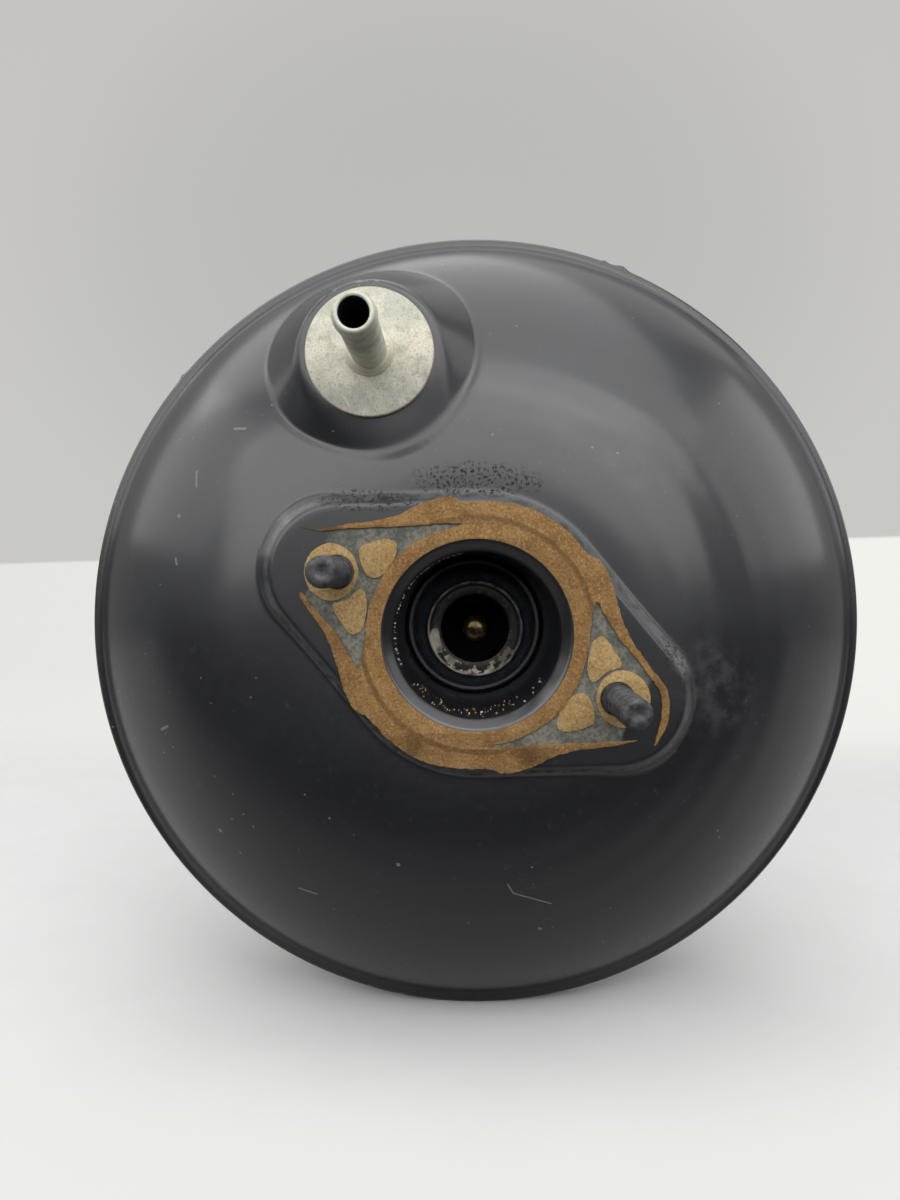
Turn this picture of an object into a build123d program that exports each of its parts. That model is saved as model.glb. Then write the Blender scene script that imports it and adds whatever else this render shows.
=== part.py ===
from build123d import *
import os
from math import atan2, cos, degrees, hypot, pi, radians, sin, sqrt

# Vacuum brake booster, millimetres. The centre line is the Y axis. The firewall
# face is y = 0 and the pedal side is +Y. The master cylinder side is -Y, with +Z up.

# Shells
BOOSTER_LENGTH = 122.0
SHEET = 1.6
RIM_R = 123.5
RIM_DEPTH = 48.0
RIM_BEND_R = 2.5
LIP_LENGTH = 13.0
RIM_LEDGE = 5.3
DOME_FLAT_R = 42.0
DOME_EDGE_R = RIM_R - RIM_LEDGE

# Raised diamond pad for the master cylinder
PAD_HEIGHT = 3.0
PAD_SLOPE = 2.5
PAD_CENTRE_R = 36.0
PAD_STUD_R = 18.0

# Central cup that the master cylinder's spigot enters
BORE_R = 22.5
BORE_LIP_R = 3.2
BORE_LAND_END = 20.0
CUP_DEPTH = 53.0
CUP_DRAFT = 0.4
CUP_FLOOR_LEDGE = 5.5
CUP_FLOOR_HOLE_R = BORE_R - CUP_FLOOR_LEDGE
CUP_CORNER_R = 1.0
CUP_BRIM = 3.3
CUP_BLEND_R = BORE_R + BORE_LIP_R + CUP_BRIM

# Master cylinder studs
STUD_SPACING = 82.0
STUD_TILT = -24.3
STUD_R = 4.0
STUD_LENGTH = 26.4
STUD_CHAMFER = 0.9
STUD_DIMPLE_R = 1.8
STUD_DIMPLE_DEPTH = 0.8
STUD_KNURL = 0.6
STUD_KNURL_R = STUD_R + STUD_KNURL
STUD_HEAD_R = 7.0
STUD_HEAD_HEIGHT = 2.5
REINFORCEMENT = 3.0
REINFORCEMENT_MARGIN = 2.5
REINFORCEMENT_BORE_GAP = 1.9

# Vacuum hose boss, disc and nipple
BOSS_TURN = -20.83
BOSS_RIM_GAP = 3.0
BOSS_FOOT_LENGTH = 61.9
BOSS_SETBACK = 34.2
BOSS_FOOT_OUTER_R = DOME_EDGE_R - BOSS_RIM_GAP
BOSS_FOOT_INNER_R = BOSS_FOOT_OUTER_R - BOSS_FOOT_LENGTH
BOSS_R = BOSS_FOOT_OUTER_R - BOSS_SETBACK
BOSS_TOP_DEPTH = 3.5
BOSS_TOP_R = 19.5
BOSS_TOP_BEND_R = 2.2
BOSS_FOOT_SINK = 0.8
DISC_R = 17.3
DISC_THICKNESS = 1.5
DISC_EDGE_R = 0.4
NIPPLE_R = 4.9
NIPPLE_BORE_R = 3.6
NIPPLE_BEAD_R = 5.4
NIPPLE_BEAD_SETBACK = 3.0
NIPPLE_LENGTH = 34.6
NIPPLE_TIP_CHAMFER = 0.6
NIPPLE_TAIL = 7.0
NIPPLE_WELD_R = 6.6
NIPPLE_WELD_HEIGHT = 1.3

# Rear shell
REAR_FLANGE = 7.3
REAR_WALL_R = RIM_R - REAR_FLANGE
REAR_CORNER_R = 34.0
REAR_STEP = 12.0
PLATEAU_R = 60.0
PLATEAU_SLOPE = 8.0
REAR_STEP_R = PLATEAU_R + PLATEAU_SLOPE
PLATEAU_BEND_R = 3.0
NECK_R = 27.0
NECK_BEND_R = 1.5
NECK_LENGTH = 17.0
NECK_HOLE_R = 22.6

# Twist-free shell joint, locked by tabs lanced out of the front shell's lip
BEAD_THICKNESS = 4.6
TAB_COUNT = 8
TAB_ANGLE = 7.0
TAB_REACH = 3.4
TAB_WINDOW = 2.4
REAR_FLANGE_GAP = 0.4

# Firewall studs
FIREWALL_X = 76.0
FIREWALL_Z = 60.0
FIREWALL_STUD_LENGTH = 24.0

# Torn gasket left on the pad
GASKET = 0.5
GASKET_MARGIN = 2.2
GASKET_RING_R = PAD_CENTRE_R - GASKET_MARGIN
GASKET_LOBE = 1.4
GASKET_LOBES = 8
GASKET_STUD_GAP = 1.2
GASKET_STUD_RING_R = 7.6
GASKET_STRIP = 1.8
GASKET_STRIPS = (
    ((-42.8, 28.0), (-31.0, 30.8), (-18.9, 32.4)),
    ((-46.6, 10.5), (-42.4, 0.6), (-36.4, -8.1)),
    ((37.2, 6.8), (46.8, -9.7), (50.6, -19.3), (47.6, -28.4)),
    ((9.8, -34.9), (20.5, -32.4), (38.8, -30.6)),
)

# Seal in the cup's floor
SEAL_HOLE_R = 10.3
SEAL_NOSE_DEPTH = 30.8
SEAL_RIDGE_R = 14.4
SEAL_RIDGE = 0.8
SEAL_WALL = 2.3
SEAL_FLANGE = 2.6
SEAL_CONE_GAP = 1.9
SEAL_CONE_R = BORE_R - SEAL_CONE_GAP
SEAL_BEAD = 1.7

# Power piston
STROKE = 32.0
HUB_FRONT = -27.0
HUB_FLANGE = 4.0
HUB_FLANGE_R = 35.0
HUB_R = 24.0
HUB_GROOVE_R = 22.8
HUB_REAR = -15.0
HUB_GROOVE_END = -18.0
BODY_R = 21.0
BODY_REACH = 5.0
BODY_REAR = NECK_LENGTH + STROKE + BODY_REACH
REACTION_BORE_R = 13.0
REACTION_DISC = 6.0
CHAMBER_R = 16.5
CHAMBER_START = 4.0
SEAT_BORE_R = 10.6
SEAT_BORE_START = -0.5
VACUUM_SEAT_R = 12.6
VACUUM_SEAT_Y = 8.2
PASSAGE_R = 2.0
PASSAGE_PITCH_R = 16.8
PASSAGE_ANGLES = (60, 120, 240, 300)

PLATE = 1.2
PLATE_STEP_R = 46.0
PLATE_STEP = 6.0
PLATE_WALL_GAP = 13.2
PLATE_R = REAR_WALL_R - PLATE_WALL_GAP
PLATE_RIM = 12.0
DIAPHRAGM = 1.8
DIAPHRAGM_WALL_GAP = 5.2
DIAPHRAGM_LOBE_R = REAR_WALL_R - DIAPHRAGM_WALL_GAP
DIAPHRAGM_LOBE = 12.0
SOFT_GAP = 0.3

# Output rod
ROD_TIP_DEPTH = 29.0
ROD_R = 5.0
ROD_NOSE_R = 4.0
ROD_NOSE_LENGTH = 16.0
ROD_HEAD = 4.0
SPRING_SEAT = 1.5
SPRING_SEAT_BORE_R = 7.0

# Return spring
SPRING_R = 31.0
SPRING_WIRE_R = 1.6
SPRING_TURNS = 7

# Control valve
RUN = 0.05
FACE_GAP = 0.2
KEY = 3.5
KEY_WIDTH = 18.0
KEY_HALF_LENGTH = 32.0
KEY_FORK_R = 4.8
KEY_TRAVEL = 1.5
ROD_TRAVEL = 2.0
PLUNGER_R = 7.0
PLUNGER_NOSE_R = 5.0
PLUNGER_NOSE_LENGTH = 3.5
PLUNGER_NOSE_GAP = 0.8
PLUNGER_CORE_R = 4.5
PLUNGER_HEAD_R = 9.5
PLUNGER_HEAD_END = 9.0
BALL_R = 4.2
BALL_Y = 5.6
BALL_GAP = 0.06
SOCKET_MOUTH_R = 5.2
POPPET_FACE = 2.5
POPPET_BORE_R = 7.4
POPPET_R = 15.4
POPPET_SLEEVE_R = 13.8
POPPET_SLEEVE = 1.2
POPPET_BEAD_START = 20.0
POPPET_BEAD = 4.0
RETAINER = 1.2
RETAINER_LENGTH = 10.0
RETAINER_BORE_R = 9.8
POPPET_SPRING_R = 10.4
POPPET_WIRE_R = 0.5
POPPET_SPRING_TURNS = 4

# Input rod, clevis and lock nut
INPUT_NECK_R = 2.8
INPUT_R = 4.5
THREAD_R = 4.0
THREAD_START = 84.0
THREAD_END = 107.0
COLLAR_R = 6.5
COLLAR = 2.0
ROD_SEAT_Y = 39.6
ROD_SEAT_R = 12.5
ROD_SPRING_FRONT_R = 13.0
ROD_SPRING_REAR_R = 10.5
ROD_WIRE_R = 0.7
ROD_SPRING_TURNS = 4
NUT_WIDTH = 13.0
NUT = 6.5
CLEVIS_BASE = 96.0
CLEVIS_PIN_Y = 122.0
CLEVIS_PIN_R = 5.05
CLEVIS_WIDTH = 22.0
CLEVIS_SLOT = 10.4
CLEVIS_EAR_R = 9.0
CLEVIS_SLOT_START = 109.0
CLEVIS_BOSS_R = 8.5
CLEVIS_BOSS = 5.0

# Filter, neck and boot
FILTER_RECESS = 0.6
FILTER = 6.4
SILENCER = 3.2
FILTER_BORE_R = 5.2
BEARING_START = 2.6
BEARING = 5.6
NECK_SEAL = 6.6
NECK_LIP = 1.4
BOOT = 1.1
BOOT_COLLAR = 10.0
BOOT_R = 29.2
BOOT_VALLEY_R = 25.0
BOOT_FOLDS = 6
BOOT_FOLD = 6.2
BOOT_BEND_R = 1.5
BOOT_TAIL_R = 9.0
BOOT_TAIL = 12.0


def behind(depth):
    """Y of a plane so far behind the master cylinder pad."""
    return depth - BOOSTER_LENGTH


def front_plane(y):
    """Sketch plane seen from the front: local x is +X and local y is +Z."""
    return Plane((0, y, 0), x_dir=(1, 0, 0), z_dir=(0, -1, 0))


def turned(points, radii=0):
    """Solid of revolution about the centre line from (radius, y) points."""
    outline = FilletPolyline(*points, radius=radii, close=True)
    return revolve(make_face(outline), Axis.Y)


def ring(outer, inner, start, end):
    return turned([(inner, start), (outer, start), (outer, end), (inner, end)])


def rod(radius, start, end):
    return turned([(0, start), (radius, start), (radius, end), (0, end)])


def sheet(points, radii, wall):
    """Turned pressed sheet: points are its first side, and its metal lies to their left."""
    far = []
    far_radii = []
    steps = [(Vector(*b) - Vector(*a)).normalized() for a, b in zip(points, points[1:])]
    normals = [Vector(-s.Y, s.X) for s in steps]
    for i, point in enumerate(points):
        before = normals[max(i - 1, 0)]
        after = normals[min(i, len(normals) - 1)]
        shift = (before + after) * (wall / (1 + before.dot(after)))
        far.append((point[0] + shift.X, point[1] + shift.Y))
    for radius, a, b in zip(radii, steps, steps[1:]):
        turn_left = a.X * b.Y - a.Y * b.X > 0
        far_radii.append(max(radius - wall, 0) if turn_left else radius + wall)
    near_side = FilletPolyline(*points, radius=radii)
    far_side = FilletPolyline(*far, radius=far_radii)
    ends = [Line(points[0], far[0]), Line(points[-1], far[-1])]
    return revolve(make_face(near_side.edges() + far_side.edges() + ends), Axis.Y)


def coil(start, end, front_r, rear_r, wire_r, turns):
    """Compression spring of six-sided wire between two planes across the centre line."""
    height = end - start - 2 * wire_r
    cone = degrees(atan2(rear_r - front_r, height))
    path = Helix(height / turns, height, front_r, center=(0, start + wire_r, 0),
                 direction=(0, 1, 0), cone_angle=cone)
    section = Plane(path @ 0, z_dir=path % 0) * RegularPolygon(wire_r, 6)
    return sweep(section, path, is_frenet=True)


def hull_outline(y, centre_r, stud_r):
    """Diamond outline round the bore and the two studs."""
    circles = [Circle(centre_r).edge()]
    for place in stud_places(0):
        circles.append((Pos(place.position) * Circle(stud_r)).edge())
    return front_plane(y) * make_hull(circles)


def stud_places(y):
    """Flat places of the two master cylinder studs in the front sketch plane."""
    across = STUD_SPACING / 2
    turn = radians(STUD_TILT)
    return [Pos(side * across * cos(turn), side * across * sin(turn), y) for side in (-1, 1)]


def stud(length, knurl):
    """Headed stud that points along local +Z, with the shell's outer face at z = 0."""
    with BuildPart() as made:
        with BuildSketch(Plane.XZ):
            with BuildLine():
                Polyline((0, -knurl - STUD_HEAD_HEIGHT), (STUD_HEAD_R, -knurl - STUD_HEAD_HEIGHT),
                         (STUD_HEAD_R, -knurl), (STUD_KNURL_R, -knurl), (STUD_KNURL_R, 0),
                         (STUD_R, 0), (STUD_R, length - STUD_CHAMFER),
                         (STUD_R - STUD_CHAMFER, length), (STUD_DIMPLE_R, length),
                         (0, length - STUD_DIMPLE_DEPTH), close=True)
            make_face()
        revolve(axis=Axis.Z)
    return made.part


def dome_radius(skin=0):
    """Radius of the arc that leaves the flat face squarely and ends at the rim flange."""
    out = DOME_EDGE_R - DOME_FLAT_R
    drop = RIM_DEPTH - PAD_HEIGHT
    return (out ** 2 + drop ** 2) / (2 * drop) - skin


def dome_depth(r, skin=0):
    """Depth of the dome's surface at a distance from the centre line."""
    centre_depth = PAD_HEIGHT + dome_radius()
    return centre_depth - sqrt(dome_radius(skin) ** 2 - (r - DOME_FLAT_R) ** 2)


def dome_envelope(skin):
    """Solid inside the front shell's outer surface, or inside its sheet when skin is the sheet."""
    face_y = behind(PAD_HEIGHT + skin)
    flange_y = behind(RIM_DEPTH + skin)
    drop = dome_radius() + PAD_HEIGHT - RIM_DEPTH - skin
    edge_r = DOME_FLAT_R + sqrt(dome_radius(skin) ** 2 - drop ** 2)
    mid_r = (DOME_FLAT_R + edge_r) / 2
    bend = RIM_BEND_R - skin
    lip_r = RIM_R - skin
    lip_end = behind(RIM_DEPTH + LIP_LENGTH)
    knee = (lip_r - bend + bend * sin(pi / 4), flange_y + bend - bend * cos(pi / 4))
    outline = [
        Line((0, face_y), (DOME_FLAT_R, face_y)),
        ThreePointArc((DOME_FLAT_R, face_y), (mid_r, behind(dome_depth(mid_r, skin))),
                      (edge_r, flange_y)),
        Line((edge_r, flange_y), (lip_r - bend, flange_y)),
        ThreePointArc((lip_r - bend, flange_y), knee, (lip_r, flange_y + bend)),
        Line((lip_r, flange_y + bend), (lip_r, lip_end)),
        Line((lip_r, lip_end), (0, lip_end)),
        Line((0, lip_end), (0, face_y)),
    ]
    return revolve(make_face(outline), Axis.Y)


def pad_block(skin):
    """Raised diamond pad with sloping flanks."""
    top = hull_outline(behind(skin), PAD_CENTRE_R - skin / 2, PAD_STUD_R - skin / 2)
    foot = hull_outline(behind(PAD_HEIGHT + skin), PAD_CENTRE_R + PAD_SLOPE - skin / 2,
                        PAD_STUD_R + PAD_SLOPE - skin / 2)
    root = hull_outline(behind(PAD_HEIGHT + 2 * SHEET + skin), PAD_CENTRE_R + PAD_SLOPE - skin / 2,
                        PAD_STUD_R + PAD_SLOPE - skin / 2)
    return loft([foot, top], ruled=True) + loft([root, foot], ruled=True)


def boss_block(skin):
    """Boss drawn out of the dome: a level round top and a foot ring that follows the slope."""
    inner = (BOSS_FOOT_INNER_R, dome_depth(BOSS_FOOT_INNER_R) + BOSS_FOOT_SINK)
    outer = (BOSS_FOOT_OUTER_R, dome_depth(BOSS_FOOT_OUTER_R) + BOSS_FOOT_SINK)
    run, fall = outer[0] - inner[0], outer[1] - inner[1]
    foot_r = hypot(run, fall) / 2 - skin
    middle = ((inner[0] + outer[0]) / 2, (inner[1] + outer[1]) / 2 + skin)
    slope = Vector(fall, -run).normalized()
    foot_plane = Plane((0, behind(middle[1]), middle[0]), x_dir=(1, 0, 0),
                       z_dir=(0, slope.Y, slope.X))
    top_plane = Plane((0, behind(BOSS_TOP_DEPTH + skin), BOSS_R), x_dir=(1, 0, 0),
                      z_dir=(0, -1, 0))
    block = loft([foot_plane * Circle(foot_r), top_plane * Circle(BOSS_TOP_R - skin / 2)],
                 ruled=True)
    block = fillet(block.edges().group_by(Axis.Y)[0], BOSS_TOP_BEND_R - skin)
    return block.rotate(Axis.Y, BOSS_TURN)


def cup():
    """Cup drawn in from the pad, with a rounded mouth, a level land and a floor."""
    points = [(CUP_FLOOR_HOLE_R, behind(CUP_DEPTH)), (BORE_R - CUP_DRAFT, behind(CUP_DEPTH)),
              (BORE_R, behind(BORE_LAND_END)), (BORE_R, behind(0)), (CUP_BLEND_R, behind(0))]
    return sheet(points, [CUP_CORNER_R, 0, BORE_LIP_R], SHEET)


def at_boss(shape):
    """Move a shape from the centre line to the hose boss."""
    turn = radians(BOSS_TURN)
    return Pos(BOSS_R * sin(turn), 0, BOSS_R * cos(turn)) * shape


def lip_tabs():
    """Windows in the lip, and the tabs bent in from them behind the rear shell's flange."""
    tab_y = behind(RIM_DEPTH) + 2 * SHEET + BEAD_THICKNESS
    lip_inner = RIM_R - SHEET
    tab = make_face(Polyline((lip_inner - TAB_REACH, tab_y), (lip_inner + SHEET / 2, tab_y),
                             (lip_inner + SHEET / 2, tab_y + SHEET),
                             (lip_inner - TAB_REACH, tab_y + SHEET), close=True))
    window = make_face(Polyline((lip_inner - SHEET, tab_y + SHEET), (RIM_R + SHEET, tab_y + SHEET),
                                (RIM_R + SHEET, tab_y + SHEET + TAB_WINDOW),
                                (lip_inner - SHEET, tab_y + SHEET + TAB_WINDOW), close=True))
    tabs, windows = [], []
    for i in range(TAB_COUNT):
        turn = i * 360 / TAB_COUNT - TAB_ANGLE / 2
        tabs.append(revolve(tab, Axis.Y, TAB_ANGLE).rotate(Axis.Y, turn))
        windows.append(revolve(window, Axis.Y, TAB_ANGLE).rotate(Axis.Y, turn))
    return tabs, windows


def front_shell():
    outer = dome_envelope(0) + pad_block(0) + boss_block(0)
    inner = dome_envelope(SHEET) + pad_block(SHEET) + boss_block(SHEET)
    shell = outer - inner
    shell -= rod(CUP_BLEND_R, behind(-SHEET), behind(PAD_HEIGHT + 3 * SHEET))
    shell += cup()
    for place in stud_places(0):
        hole = front_plane(behind(PAD_HEIGHT + SHEET)) * place * Circle(STUD_KNURL_R + RUN)
        shell -= extrude(hole, 2 * PAD_HEIGHT + SHEET)
    shell -= at_boss(rod(NIPPLE_R + SHEET / 2, behind(0), behind(BOSS_TOP_DEPTH + 2 * SHEET)))
    tabs, windows = lip_tabs()
    return (shell - windows) + tabs


def reinforcement_plate():
    """Diamond plate inside the pad that the studs are pressed into."""
    y = behind(SHEET + REINFORCEMENT)
    outline = hull_outline(y, PAD_CENTRE_R - REINFORCEMENT_MARGIN,
                           PAD_STUD_R - REINFORCEMENT_MARGIN)
    plate = extrude(outline, REINFORCEMENT)
    plate -= rod(BORE_R + BORE_LIP_R + REINFORCEMENT_BORE_GAP, behind(0), behind(2 * REINFORCEMENT))
    for place in stud_places(0):
        plate -= extrude(front_plane(y) * place * Circle(STUD_KNURL_R + RUN), REINFORCEMENT)
    return plate


def master_cylinder_studs():
    made = stud(STUD_LENGTH, SHEET + REINFORCEMENT)
    return Compound([front_plane(behind(0)) * place * made for place in stud_places(0)])


def wavy_ring(outer, inner, wave, lobes, phase):
    """Face of a paper ring whose torn outer edge wanders."""
    count = 2 * lobes
    points = []
    for i in range(count):
        angle = 2 * pi * i / count + phase
        radius = outer + wave * (1 if i % 2 else -1) * cos(2.3 * i + phase)
        points.append((radius * cos(angle), radius * sin(angle)))
    return make_face(Spline(*points, periodic=True)) - Circle(inner)


def flange_gasket():
    """Torn paper gasket: a ring round the bore, one round each stud and four edge strips."""
    mouth_r = BORE_R + BORE_LIP_R + SOFT_GAP
    faces = [wavy_ring(GASKET_RING_R, mouth_r, GASKET_LOBE, GASKET_LOBES, 0)]
    for place in stud_places(0):
        torn = wavy_ring(GASKET_STUD_RING_R, STUD_R + GASKET_STUD_GAP, GASKET_LOBE / 3,
                         GASKET_LOBES, 1)
        faces.append(place * torn)
    faces += [trace(Spline(*strip), GASKET_STRIP) for strip in GASKET_STRIPS]
    plane = front_plane(behind(0))
    return Compound([extrude(plane * face, GASKET).solid() for face in faces])


def vacuum_disc():
    """Plated round plate welded to the boss, with a rounded edge and a hole for the nipple."""
    top = behind(BOSS_TOP_DEPTH - DISC_THICKNESS)
    base = behind(BOSS_TOP_DEPTH)
    points = [(NIPPLE_R + RUN, top), (DISC_R, top), (DISC_R, base), (NIPPLE_R + RUN, base)]
    return at_boss(turned(points, [0, DISC_EDGE_R, 0, 0]))


def vacuum_nipple():
    """Hose nipple with a bead near its mouth and a weld ring at its root."""
    root = behind(BOSS_TOP_DEPTH - DISC_THICKNESS)
    tip = root - NIPPLE_LENGTH
    bead = tip + NIPPLE_BEAD_SETBACK
    swell = NIPPLE_BEAD_R - NIPPLE_R
    points = [(NIPPLE_BORE_R, tip), (NIPPLE_R - NIPPLE_TIP_CHAMFER, tip),
              (NIPPLE_R, tip + NIPPLE_TIP_CHAMFER), (NIPPLE_R, bead - 2 * swell),
              (NIPPLE_BEAD_R, bead - swell / 2), (NIPPLE_BEAD_R, bead + swell / 2),
              (NIPPLE_R, bead + 2 * swell), (NIPPLE_R, root - NIPPLE_WELD_HEIGHT),
              (NIPPLE_WELD_R, root), (NIPPLE_R, root),
              (NIPPLE_R, root + NIPPLE_TAIL), (NIPPLE_BORE_R, root + NIPPLE_TAIL)]
    return at_boss(turned(points))


def front_seal():
    """Rubber seal: a flange on the cup's floor, a snap bead behind it and a hollow cone."""
    floor = behind(CUP_DEPTH)
    under = floor + SHEET + RUN
    nose = behind(SEAL_NOSE_DEPTH)
    throat = CUP_FLOOR_HOLE_R - SEAL_BEAD
    flange_r = BORE_R - CUP_DRAFT - CUP_CORNER_R - RUN
    points = [(SEAL_HOLE_R, nose + SEAL_RIDGE), (SEAL_RIDGE_R - 2 * SEAL_RIDGE, nose + SEAL_RIDGE),
              (SEAL_RIDGE_R - SEAL_RIDGE, nose), (SEAL_RIDGE_R, nose),
              (SEAL_CONE_R, floor - SEAL_FLANGE), (flange_r, floor - SEAL_FLANGE),
              (flange_r, floor), (CUP_FLOOR_HOLE_R - RUN, floor),
              (CUP_FLOOR_HOLE_R - RUN, under), (CUP_FLOOR_HOLE_R + SEAL_BEAD, under),
              (CUP_FLOOR_HOLE_R + SEAL_BEAD / 2, under + SEAL_BEAD), (throat, under + SEAL_BEAD),
              (throat, floor - SEAL_FLANGE), (SEAL_RIDGE_R - SEAL_WALL, nose + 2 * SEAL_WALL),
              (SEAL_HOLE_R, nose + SEAL_RIDGE + SEAL_WALL)]
    return turned(points)


def rear_flange_y():
    """Y of the rear side of the rear shell's flange."""
    return behind(RIM_DEPTH) + 2 * SHEET + BEAD_THICKNESS


def rear_shell():
    """Rear pan: clamped flange, wall, stepped floor, mounting plateau and neck."""
    flange_r = RIM_R - SHEET - REAR_FLANGE_GAP
    points = [(flange_r, rear_flange_y()), (REAR_WALL_R, rear_flange_y()),
              (REAR_WALL_R, -REAR_STEP), (REAR_STEP_R, -REAR_STEP), (PLATEAU_R, 0), (NECK_R, 0),
              (NECK_R, NECK_LENGTH), (NECK_HOLE_R, NECK_LENGTH)]
    wall = -REAR_STEP - rear_flange_y()
    floor = REAR_WALL_R - REAR_STEP_R
    corner = min(REAR_CORNER_R, wall - 2 * SHEET, floor - PLATEAU_BEND_R)
    bends = [SHEET, corner, PLATEAU_BEND_R, PLATEAU_BEND_R, NECK_BEND_R, SHEET]
    shell = sheet(points, bends, SHEET)
    for x, z in firewall_places():
        hole = rear_plane(-2 * SHEET) * Pos(x, z) * Circle(STUD_KNURL_R + RUN)
        shell -= extrude(hole, 4 * SHEET)
    return shell


def rear_plane(y):
    """Sketch plane seen from the pedal side: local x is -X and local y is +Z."""
    return Plane((0, y, 0), x_dir=(-1, 0, 0), z_dir=(0, 1, 0))


def firewall_places():
    return [(x * FIREWALL_X / 2, z * FIREWALL_Z / 2) for x in (-1, 1) for z in (-1, 1)]


def firewall_studs():
    made = stud(FIREWALL_STUD_LENGTH, SHEET)
    return Compound([rear_plane(0) * Pos(x, z) * made for x, z in firewall_places()])


def valve_body():
    """Moulded body of the power piston, bored for the rod head, plunger and valve."""
    flange_rear = HUB_FRONT + HUB_FLANGE
    groove_start = flange_rear + PLATE
    neck_rear = HUB_REAR + HUB_R - BODY_R
    bore_end = reaction_span()[1] + FACE_GAP
    points = [(REACTION_BORE_R, HUB_FRONT), (HUB_FLANGE_R, HUB_FRONT),
              (HUB_FLANGE_R, flange_rear), (HUB_R, flange_rear), (HUB_R, groove_start),
              (HUB_GROOVE_R, groove_start), (HUB_GROOVE_R, HUB_GROOVE_END),
              (HUB_R, HUB_GROOVE_END), (HUB_R, HUB_REAR), (BODY_R, neck_rear),
              (BODY_R, BODY_REAR), (CHAMBER_R, BODY_REAR), (CHAMBER_R, CHAMBER_START),
              (VACUUM_SEAT_R, CHAMBER_START), (VACUUM_SEAT_R, VACUUM_SEAT_Y),
              (SEAT_BORE_R, VACUUM_SEAT_Y), (SEAT_BORE_R, SEAT_BORE_START),
              (PLUNGER_R + RUN, SEAT_BORE_START), (PLUNGER_R + RUN, bore_end),
              (REACTION_BORE_R, bore_end)]
    body = turned(points)
    key_front, key_rear = key_span()
    slot_length = key_rear + KEY_TRAVEL + FACE_GAP - key_front + FACE_GAP
    slot = Box(2 * HUB_FLANGE_R, slot_length, KEY_WIDTH + 2 * FACE_GAP)
    body -= Pos(0, key_front - FACE_GAP + slot_length / 2, 0) * slot
    for angle in PASSAGE_ANGLES:
        x, z = PASSAGE_PITCH_R * cos(radians(angle)), PASSAGE_PITCH_R * sin(radians(angle))
        body -= Pos(x, 0, z) * rod(PASSAGE_R, HUB_FRONT, CHAMBER_START + PASSAGE_R)
    return body


def key_span():
    """Y of the stop key's front and rear faces, with its rear face on the rear shell."""
    rear = -SHEET - FACE_GAP
    return rear - KEY, rear


def stop_key():
    """Flat fork through the valve body that traps the plunger and stops on the rear shell."""
    front, rear = key_span()
    blank = Rectangle(2 * KEY_HALF_LENGTH, KEY_WIDTH)
    fork = Pos(-KEY_HALF_LENGTH / 2, 0) * Rectangle(KEY_HALF_LENGTH, 2 * KEY_FORK_R)
    outline = blank - fork - Circle(KEY_FORK_R)
    return extrude(front_plane(rear) * outline, KEY)


def diaphragm_plate():
    """Pressed plate that carries the diaphragm, stepped near the hub and turned at its rim."""
    front = HUB_FRONT + HUB_FLANGE
    outer_y = front - PLATE_STEP
    points = [(HUB_R + RUN, front), (PLATE_STEP_R, front), (PLATE_STEP_R + 2 * PLATE_STEP, outer_y),
              (PLATE_R, outer_y), (PLATE_R, outer_y - PLATE_RIM)]
    return sheet(points, [PLATE_STEP, PLATE_STEP, PLATE_STEP], PLATE)


def diaphragm():
    """Rolling rubber diaphragm from the hub's groove to the bead clamped in the rim."""
    front = HUB_FRONT + HUB_FLANGE + PLATE + SOFT_GAP
    outer_y = front - PLATE_STEP
    rim_r = PLATE_R + PLATE + SOFT_GAP
    roll_end = outer_y - PLATE_RIM - 2 * DIAPHRAGM
    clamp_front = behind(RIM_DEPTH + SHEET) + FACE_GAP
    clamp_rear = clamp_front + BEAD_THICKNESS - 2 * FACE_GAP
    bead_outer = RIM_R - RIM_BEND_R - SOFT_GAP
    bead_inner = REAR_WALL_R + SHEET
    lobe_end = clamp_front + min(DIAPHRAGM_LOBE, (roll_end - clamp_front) / 2)
    lobe_bend = min(PLATE_STEP, (roll_end - clamp_front) / 4)
    points = [(HUB_R + SOFT_GAP, front), (PLATE_STEP_R, front),
              (PLATE_STEP_R + 2 * PLATE_STEP, outer_y), (rim_r, outer_y), (rim_r, roll_end),
              (DIAPHRAGM_LOBE_R, lobe_end), (DIAPHRAGM_LOBE_R, clamp_front + FACE_GAP),
              (bead_outer - DIAPHRAGM, clamp_front + FACE_GAP)]
    bends = [PLATE_STEP, PLATE_STEP, PLATE_STEP, lobe_bend, lobe_bend, DIAPHRAGM]
    skin = sheet(points, bends, DIAPHRAGM)
    rim_bead = ring(bead_outer, bead_inner, clamp_front, clamp_rear)
    hub_bead = ring(HUB_R + 2 * DIAPHRAGM, HUB_GROOVE_R + SOFT_GAP, front,
                    HUB_GROOVE_END - SOFT_GAP)
    return skin + rim_bead + hub_bead


def spring_seat():
    """Pressed washer that holds the rod's head and carries the return spring."""
    seat = ring(HUB_FLANGE_R, SPRING_SEAT_BORE_R, HUB_FRONT - SPRING_SEAT, HUB_FRONT)
    for angle in PASSAGE_ANGLES:
        x, z = PASSAGE_PITCH_R * cos(radians(angle)), PASSAGE_PITCH_R * sin(radians(angle))
        seat -= Pos(x, 0, z) * rod(PASSAGE_R + FACE_GAP, HUB_FRONT - 2 * SPRING_SEAT, HUB_FRONT)
    return seat


def return_spring():
    start = behind(SHEET + REINFORCEMENT)
    return coil(start, HUB_FRONT - SPRING_SEAT, SPRING_R, SPRING_R, SPRING_WIRE_R, SPRING_TURNS)


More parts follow.
